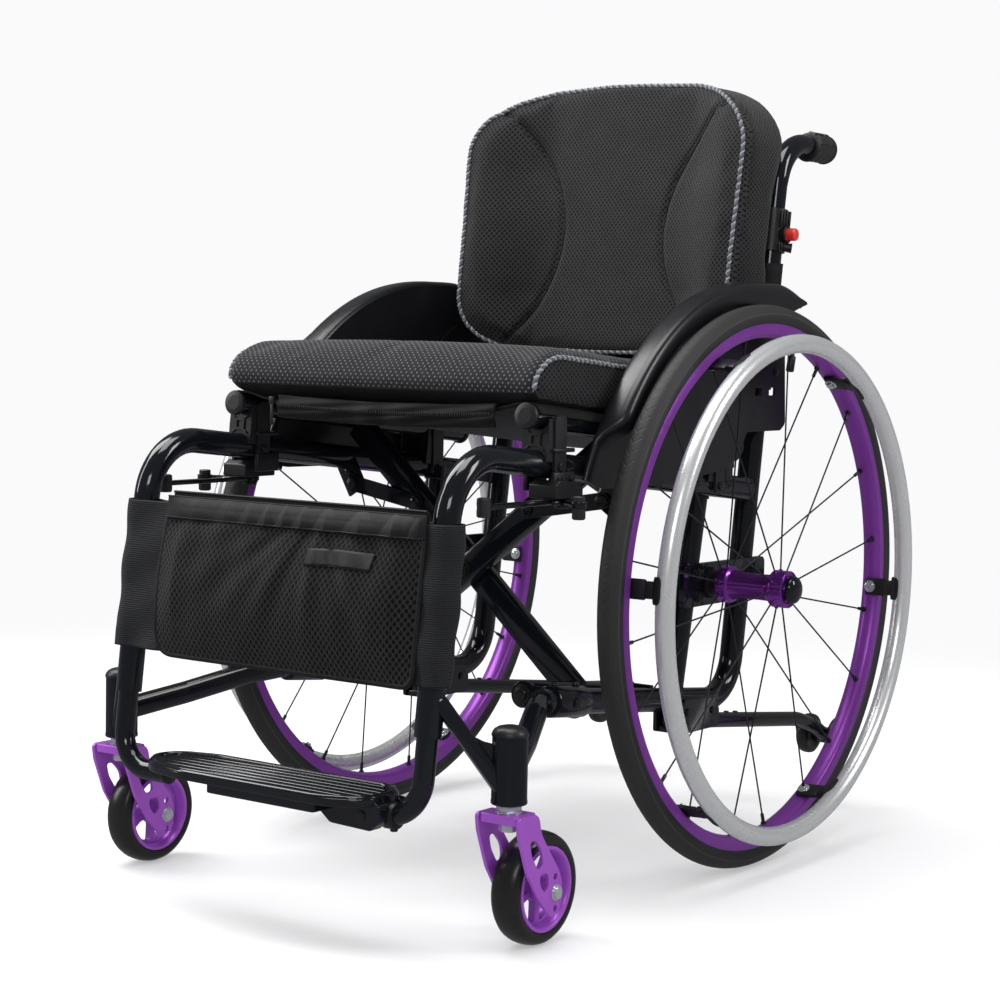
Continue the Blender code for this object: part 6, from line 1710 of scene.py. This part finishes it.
# %% [markdown]
# The back cushion's outline is a square with round corners, drawn in the front view. Its
# bolsters slope in to a recessed panel between two long curved seams, which are pressed in
# after the simulation. A braid runs round the whole front face.
# %% Back cushion
BACK_LOW_Z = 0.5330
BACK_HIGH_Z = 0.8440
BACK_MIDDLE_Z = (BACK_LOW_Z + BACK_HIGH_Z) / 2
BACK_HALF_Z = (BACK_HIGH_Z - BACK_LOW_Z) / 2
BACK_HALF_X = 0.187
BACK_DEPTH = 0.047


def back_front(z):
    """Place of the cushion's front, which leans with the canes."""
    return 0.0186 + CANE_LEAN * (z - 0.548)


def back_outline(a, b):
    """The front view's border, from the middle of the cushion."""
    half_x = 0.1862 + 0.0040 * b
    return on_corner(a * half_x, b * BACK_HALF_Z, half_x, BACK_HALF_Z, (0.118, 0.082), (0.072, 0.070))


def seam_share(w):
    """Half width of the middle panel, as a share, at a height from -1 to 1."""
    return 0.36 + 0.50 * (w + 0.10) ** 2


def back_place(depth, across, up):
    """From the outline to the chair, with the panel between the seams set back."""
    z = BACK_MIDDLE_Z + up
    y = back_front(z) + BACK_DEPTH + depth
    if depth < 0:
        seam = seam_share(up / BACK_HALF_Z) * BACK_HALF_X
        inward = max(0.0, min(1.0, (0.186 - abs(across)) / max(0.100, 0.186 - seam)))
        y += 0.050 * inward * inward * (3 - 2 * inward) * (-depth / BACK_DEPTH)
    return at(across, y, z)


def press(made, lines, width, depth):
    """Push the skin in along lines, in the direction across its surface."""
    tree = KDTree(sum(len(line) for line in lines))
    for index, place in enumerate(place for line in lines for place in line):
        tree.insert(place, index)
    tree.balance()
    normals = [vert.normal.copy() for vert in made.data.vertices]
    for vert, normal in zip(made.data.vertices, normals):
        _, _, far = tree.find(vert.co)
        if far < 3 * width:
            vert.co -= normal * depth * math.exp(-(far / width) ** 2)


back = cushion("back_pad", back_outline, BACK_DEPTH, 0.013, back_place, 0.005)
swell(back, 3.0, 0.005)
refine(back)
seams = []
for side in (-1, 1):
    line = []
    for step in range(61):
        w = -0.90 + 1.78 * step / 60
        line.append(back_place(-BACK_DEPTH, side * seam_share(w) * BACK_HALF_X, w * BACK_HALF_Z))
    seams.append(evened(on_skin(back, line, 0.0), 0.0025))
press(back, seams, 0.0040, 0.0034)


def back_cover(centre, normal):
    """The number of the cloth: the side's mesh where the skin is behind the braid and faces sideways."""
    return int(centre.y - AXLE_Y > back_front(centre.z) + 0.014 and abs(normal.y) < 0.70)


dress(back, [BACK_MESH, SIDE_MESH], back_cover)
settle(back, "back_cushion")

mesh = bmesh.new()
for line in seams:
    sweep(mesh, smoothed(evened(on_skin(back, line, -0.0002), 0.003), 6), 0.0009, 8)
flattens(piece("back_seams", mesh, NYLON, "left_frame"))

edge = []
for corner_a, corner_b, step_a, step_b in ((-1, -1, 1, 0), (1, -1, 0, 1), (1, 1, -1, 0), (-1, 1, 0, -1)):
    for step in range(80):
        spot, out = back_outline(corner_a + step_a * step / 40, corner_b + step_b * step / 40)
        edge.append(back_place(0.004 - BACK_DEPTH, *(spot - out * 0.0040)))
ring = smoothed(evened(edge, 0.004, True), 4, True)
ring = smoothed(evened(on_skin(back, ring, 0.0010), 0.0022, True), 6, True)
yarns("back_piping", ring, True)
print("back cushion made with", len(back.data.vertices), "points")

# %% [markdown]
# The slings are plain nylon, sewn into sleeves round their tubes. The seat sling sags a
# little under the cushion and its front edge is gathered.
# %% Slings
def wrap(share, x_tube, radius, start, end):
    """X and distance from the tubes' plane, on a path round one tube, across and round the other."""
    side = 1 if share < 0.5 else -1
    run = min(share, 1 - share)
    if run < 0.25:
        angle = start + (end - start) * run / 0.25
        return side * (x_tube + radius * math.cos(angle)), radius * math.sin(angle)
    edge_x = x_tube + radius * math.cos(end)
    return side * edge_x * (1 - (run - 0.25) / 0.25), radius * math.sin(end)


def sewn(name, form, columns, rows, material, body, thickness, nodes=()):
    """A thin cloth: a grid in its form, thickened and baked."""
    mesh = bmesh.new()
    grid(mesh, columns, rows, form)
    made = piece(name, mesh, material, body, nodes, sharp=60)
    thicken(made, thickness, 0.0)
    apply_modifiers(made)
    return made


def seat_cloth(share, along):
    """The sling of the seat, wrapped round both seat tubes."""
    x, up = wrap(share, SEAT_X, 0.0125, math.radians(14), math.radians(104))
    y = -0.3345 + 0.375 * along
    fall = max(0.0, 1 - (x / 0.1725) ** 2)
    gather = 0.0012 * math.sin(x * 260 + 2.5 * math.sin(x * 41)) * max(0.0, 1 - along * 6) * fall
    return at(x, y, seat_z(y) + up - 0.022 * fall + gather)


def back_cloth(share, rise):
    """The sling of the back, wrapped round both canes."""
    x, forward = wrap(share, FRAME_X, 0.0142, math.radians(-40), math.radians(104))
    z = 0.500 + 0.140 * rise
    return at(x, cane_y(z) - forward / math.cos(math.atan(CANE_LEAN)), z)


for name, node, form, rows, flat, tubes in (
        ("seat_cloth", "seat_sling", seat_cloth, 36, (0.407, 0.377), "seat_tube"),
        ("back_cloth", "back_sling", back_cloth, 16, (0.405, 0.1415), "side_frame")):
    cloth = sewn(name, form, 160, rows, NYLON, "left_frame", 0.0022, [node])
    flattens(cloth)
print("slings made")

# %% [markdown]
# Below the front edge of the sling hangs a hem with a zip, and a short tape with its pull at
# the right end. They are what the photograph shows under the cushion.
# %% Sling hem and zip
def hem(share, rise):
    """The hem, from its right end and from its upper edge downwards."""
    x = -0.128 + 0.276 * share
    ripple = 0.0016 * math.sin(x * 90 + 1.7 * math.sin(x * 37)) + 0.0009 * math.sin(rise * 14 + x * 60)
    sag = 0.0035 * max(0.0, 1 - ((x - 0.01) / 0.138) ** 2)
    z = 0.4900 - sag - 0.0225 * rise
    return at(x, -0.3360 + ripple - 0.003 * math.sin(math.pi * rise), z)


skirt = sewn("sling_hem", hem, 120, 12, NYLON, "left_frame", 0.0016)
flattens(skirt)
pull = at(-0.1340, -0.3400, 0.4842)
bits = [(hem(0.02 + 0.96 * index / 95, 0.45) + Vector((0, -0.0016, 0)), (0.0017, 0.0012, 0.0040), 0.0003)
        for index in range(96)]
bits += [(pull, (0.007, 0.003, 0.008), 0.001), (pull - UP * 0.014, (0.0042, 0.0012, 0.022), 0.0005)]
mesh = bmesh.new()
for place, size, edge in bits:
    brick(mesh, Matrix.Translation(place) @ Matrix.Diagonal((*size, 1)), edge)
teeth = piece("sling_zip", mesh, PLASTIC, "left_frame")
flattens(teeth)
print("hem and zip made")

# %% [markdown]
# The calf strap is sewn in layers: a loose sleeve of ribbed webbing round each front tube, a
# nylon back panel between the sleeves, a mesh pocket that hangs in folds from a pleated
# satin band, and a plain label. The pocket runs over the left sleeve, as in the photograph.
# %% Calf strap
SLEEVE_LOW = 0.2420
SLEEVE_HIGH = 0.3860
STRAP_TOP = 0.3966
POCKET_LEFT = -0.141
POCKET_RIGHT = 0.1770
POCKET_LOW = 0.2400
BAND_LOW = 0.3725
LABEL_X = (0.048, 0.126)
FOLD_X = 0.052


def panel_depth(x, z):
    """How far the strap's panel stands in front of the tubes' centre plane."""
    share = (z - POCKET_LOW) / (STRAP_TOP - POCKET_LOW)
    inward = max(0.0, 1 - (x / 0.176) ** 4)
    belly = 0.010 * math.sin(math.pi * min(1.0, max(0.0, share) * 1.1)) * inward
    return 0.0150 + belly - 0.004 * inward * max(0.0, share)


def panel_point(x, z, lift=0.0):
    """A point of the panel's front, or in front of it by the lift."""
    return at(x, front_y(z) - panel_depth(x, z) - lift, z)


def sleeve_form(side):
    """A loop: the front lap, round the tube, and the back lap to the same seam."""
    def form(share, rise):
        z = SLEEVE_LOW + (SLEEVE_HIGH - SLEEVE_LOW) * rise
        soft = 0.0010 * math.sin(z * 110 + share * 9) + 0.0022 * max(0.0, 1 - rise * 7) * math.sin(share * 17)
        loose = 0.0170 + soft + 0.0016 * math.sin(math.pi * rise)
        if share < 0.35:
            run = share / 0.35
            return at(side * (0.1370 + 0.0510 * run), front_y(z) - 0.0150 + 0.0012 * math.sin(math.pi * run) - soft, z)
        if share < 0.70:
            angle = math.radians(-90 + 180 * (share - 0.35) / 0.35)
            return at(side * (RAIL_X + loose * math.cos(angle)), front_y(z) + (0.0150 + soft) * math.sin(angle), z)
        run = (share - 0.70) / 0.30
        return at(side * (RAIL_X - 0.0510 * run), front_y(z) + 0.0150 + soft - 0.0270 * run, z)
    return form


def corner_rise(x, low_x, radius):
    """How much higher the pocket's lower edge is near a round corner."""
    over = max(0.0, radius - abs(x - low_x))
    return radius - math.sqrt(max(0.0, radius ** 2 - over ** 2))


def pocket_form(share, rise):
    """The mesh pocket: slack, with folds that fan out below the strap's top edge."""
    x = POCKET_LEFT + (POCKET_RIGHT - POCKET_LEFT) * share
    low = POCKET_LOW + corner_rise(x, POCKET_LEFT, 0.020) + corner_rise(x, POCKET_RIGHT, 0.008)
    z = low + (BAND_LOW + 0.006 - low) * rise
    edge = min(1.0, min(share, 1 - share) * 12)
    swing = math.atan2(x - FOLD_X, 0.400 - z)
    reach = min(1.0, math.hypot(x - FOLD_X, 0.400 - z) / 0.09)
    drape = 0.0016 * math.sin(swing * 9.5 + 0.8) + 0.0008 * math.sin(swing * 23)
    small = 0.0009 * math.sin(x * 150 + 1.2 * math.sin(z * 30)) * rise
    slack = 0.0065 * math.sin(math.pi * min(1.0, rise * 1.02)) ** 0.8
    return panel_point(x, z, 0.0014 + (slack + drape * reach * (0.3 + 0.7 * rise) + small) * edge)


def band_form(share, rise):
    """The pleated band over the pocket's upper edge."""
    x = POCKET_LEFT - 0.002 + (POCKET_RIGHT - POCKET_LEFT + 0.004) * share
    z = BAND_LOW + (0.3925 - BAND_LOW) * rise
    pleat = abs(((x * 34.0 + 0.4 * math.sin(x * 31)) % 1.0) - 0.5) * 2
    depth = 0.0048 * (0.15 + 0.85 * share) * max(0.0, 1 - pleat / (0.25 + 0.75 * (1 - rise))) * (1 - rise) ** 0.6
    edge = min(1.0, min(share, 1 - share) * 16)
    return panel_point(x, z, 0.0022 + (0.0042 * math.sin(math.pi * (0.15 + 0.8 * rise)) + depth) * edge)


def panel_form(share, rise):
    """The nylon panel behind the pocket."""
    x = -0.1385 + 0.3165 * share
    return panel_point(x, POCKET_LOW + 0.002 + (STRAP_TOP - POCKET_LOW - 0.002) * rise, -0.0008)


def label_form(share, rise):
    """A plain label that lies on the pocket."""
    x = LABEL_X[0] + (LABEL_X[1] - LABEL_X[0]) * share
    z = 0.3405 + 0.0150 * rise + 0.0012 * math.sin(math.pi * share)
    across = (x - POCKET_LEFT) / (POCKET_RIGHT - POCKET_LEFT)
    up = (z - POCKET_LOW) / (BAND_LOW + 0.006 - POCKET_LOW)
    return pocket_form(across, up) + Vector((0, -0.0014, 0))


for side, name in SIDES:
    sleeve = sewn(f"{name}_strap_sleeve", sleeve_form(side), 90, 60, WEBBING, f"{name}_frame", 0.0018)

for name, form, columns, rows, material, thickness, nodes, flat, held, under in (
        ("strap_panel", panel_form, 120, 50, NYLON, 0.0016, ["calf_strap"], (0.320, 0.157),
         "stretched", "left_strap_sleeve"),
        ("strap_pocket", pocket_form, 240, 90, POCKET, 0.0010, [], (0.328, 0.146), "gathered", "strap_panel"),
        ("strap_band", band_form, 300, 24, SATIN, 0.0012, [], (0.345, 0.026), "gathered", "strap_panel"),
        ("strap_label", label_form, 40, 8, SATIN, 0.0012, [], (0.080, 0.016), "laid", "strap_pocket")):
    cloth = sewn(name, form, columns, rows, material, "left_frame", thickness, nodes)
    flattens(cloth)

mesh = bmesh.new()


def binding(places, radius):
    """A folded tape over an edge."""
    sweep(mesh, smoothed(evened(places, 0.003), 3), radius, 10, flat=0.55)


steps = [step / 90 for step in range(91)]
for form, rise, radius in (
        (panel_form, 1.0, 0.0022), (band_form, 0.0, 0.0013), (band_form, 1.0, 0.0013),
        (label_form, 0.0, 0.0006), (label_form, 1.0, 0.0006)):
    binding([form(share, rise) for share in steps], radius)
binding([pocket_form(0.0, 1 - share) for share in steps] + [pocket_form(share, 0.0) for share in steps[1:]]
        + [pocket_form(1.0, share) for share in steps[1:]], 0.0026)
flattens(piece("strap_bindings", mesh, SATIN, "left_frame", sharp=60))
print("calf strap made")

# %% [markdown]
# The camera stands in front of the chair's left corner, a little above the seat, and looks
# slightly down with a small roll. Place, turn and lens come from fitting the two wheels.
# %% Camera
CAMERA_PLACE = Vector((1.3688, -1.91025, 0.5562))
CAMERA_YAW = math.radians(35.961)
CAMERA_PITCH = math.radians(4.349)
CAMERA_ROLL = math.radians(1.111)
PICTURE = 1000
FOCAL_PIXELS = 2184.6
SENSOR = 36.0

level = Vector((math.cos(CAMERA_YAW), math.sin(CAMERA_YAW), 0))
ahead = UP.cross(level) * math.cos(CAMERA_PITCH) - UP * math.sin(CAMERA_PITCH)
above = level.cross(ahead)
right = math.cos(CAMERA_ROLL) * level + math.sin(CAMERA_ROLL) * above
above = math.cos(CAMERA_ROLL) * above - math.sin(CAMERA_ROLL) * level
camera_data = bpy.data.cameras.new("camera")
camera_data.sensor_width = SENSOR
camera_data.lens = SENSOR * FOCAL_PIXELS / PICTURE
camera_data.clip_end = 50
camera = placed("camera", camera_data)
camera.matrix_world = Matrix.Translation(CAMERA_PLACE) @ Matrix((right, above, -ahead)).transposed().to_4x4()
bpy.context.scene.camera = camera
print("camera lens", round(camera_data.lens, 2))

# %% [markdown]
# The studio is white. The camera sees a plain pale backdrop, and the floor takes a soft
# shadow near the chair and melts into the backdrop further out. Soft boxes above and beside
# the chair draw the long highlights on the gloss tubes; what else they mirror is darker.
# %% Studio
BACKDROP = (0.955, 0.955, 0.965)
FLOOR_COLOUR = (0.90, 0.90, 0.91)


def seen(tree, word):
    """One of the facts about the ray that asks for a colour."""
    return tree.nodes.new("ShaderNodeLightPath").outputs[word]


def mixed(tree, share, first, second):
    """A shader between two others."""
    mix = tree.nodes.new("ShaderNodeMixShader")
    tree.links.new(share, mix.inputs[0])
    tree.links.new(first, mix.inputs[1])
    tree.links.new(second, mix.inputs[2])
    return mix.outputs[0]


def glow(tree, kind, colour, strength):
    """A background or emission shader of one colour."""
    made = tree.nodes.new(kind)
    made.inputs["Color"].default_value = (*colour, 1)
    made.inputs["Strength"].default_value = strength
    return made.outputs[0]


world = bpy.data.worlds.new("studio")
world.use_nodes = True
bpy.context.scene.world = world
tree = world.node_tree
around = glow(tree, "ShaderNodeBackground", (1.0, 1.0, 1.0), 0.72)
mirrored = glow(tree, "ShaderNodeBackground", (1.0, 1.0, 1.0), 0.16)
backdrop = glow(tree, "ShaderNodeBackground", BACKDROP, 1.0)
lit = mixed(tree, seen(tree, "Is Glossy Ray"), around, mirrored)
shown = mixed(tree, seen(tree, "Is Camera Ray"), lit, backdrop)
tree.links.new(shown, tree.nodes["World Output"].inputs["Surface"])

floor_shader = Shader("floor", FLOOR_COLOUR, 0.7)
tree = floor_shader.tree
x, y, _ = floor_shader.axes()
distance = (x * x + y * y).root()
plain = glow(tree, "ShaderNodeEmission", BACKDROP, 1.0)
dim = glow(tree, "ShaderNodeEmission", (0.24, 0.24, 0.25), 1.0)
faded = mixed(tree, (distance.step(0.75, 2.1) * 0.62 + 0.38).socket, floor_shader.surface.outputs[0], plain)
reflected = mixed(tree, seen(tree, "Is Glossy Ray"), faded, dim)
tree.links.new(reflected, tree.nodes["Material Output"].inputs["Surface"])
mesh = bmesh.new()
bmesh.ops.create_grid(mesh, x_segments=1, y_segments=1, size=14)
floor_data = bpy.data.meshes.new("floor")
mesh.to_mesh(floor_data)
mesh.free()
floor_data.materials.append(floor_shader.material)
floor = placed("floor", floor_data)
floor.location = (0, 0, -0.0005)


def soft_light(name, place, target, width, height, power):
    """A rectangular soft box that faces a target."""
    data = bpy.data.lights.new(name, "AREA")
    data.shape = "RECTANGLE"
    data.size = width
    data.size_y = height
    data.energy = power
    made = placed(name, data)
    made.location = place
    made.rotation_euler = (Vector(target) - Vector(place)).to_track_quat("-Z", "Y").to_euler()


soft_light("top", (0.2, -0.3, 2.6), (0, 0, 0.2), 1.2, 1.2, 30)
soft_light("upper_left", (-1.2, -0.45, 2.2), (0, 0, 0.4), 1.0, 1.6, 42)
soft_light("key", (2.5, 0.9, 1.9), (0, 0, 0.4), 0.6, 1.3, 26)
soft_light("left_box", (-2.0, -1.4, 1.4), (0, 0, 0.4), 0.4, 1.4, 16)
soft_light("front_box", (1.7, -2.6, 1.9), (0, 0, 0.4), 1.1, 0.7, 18)
bpy.context.scene.view_settings.view_transform = "Standard"
print("studio made")
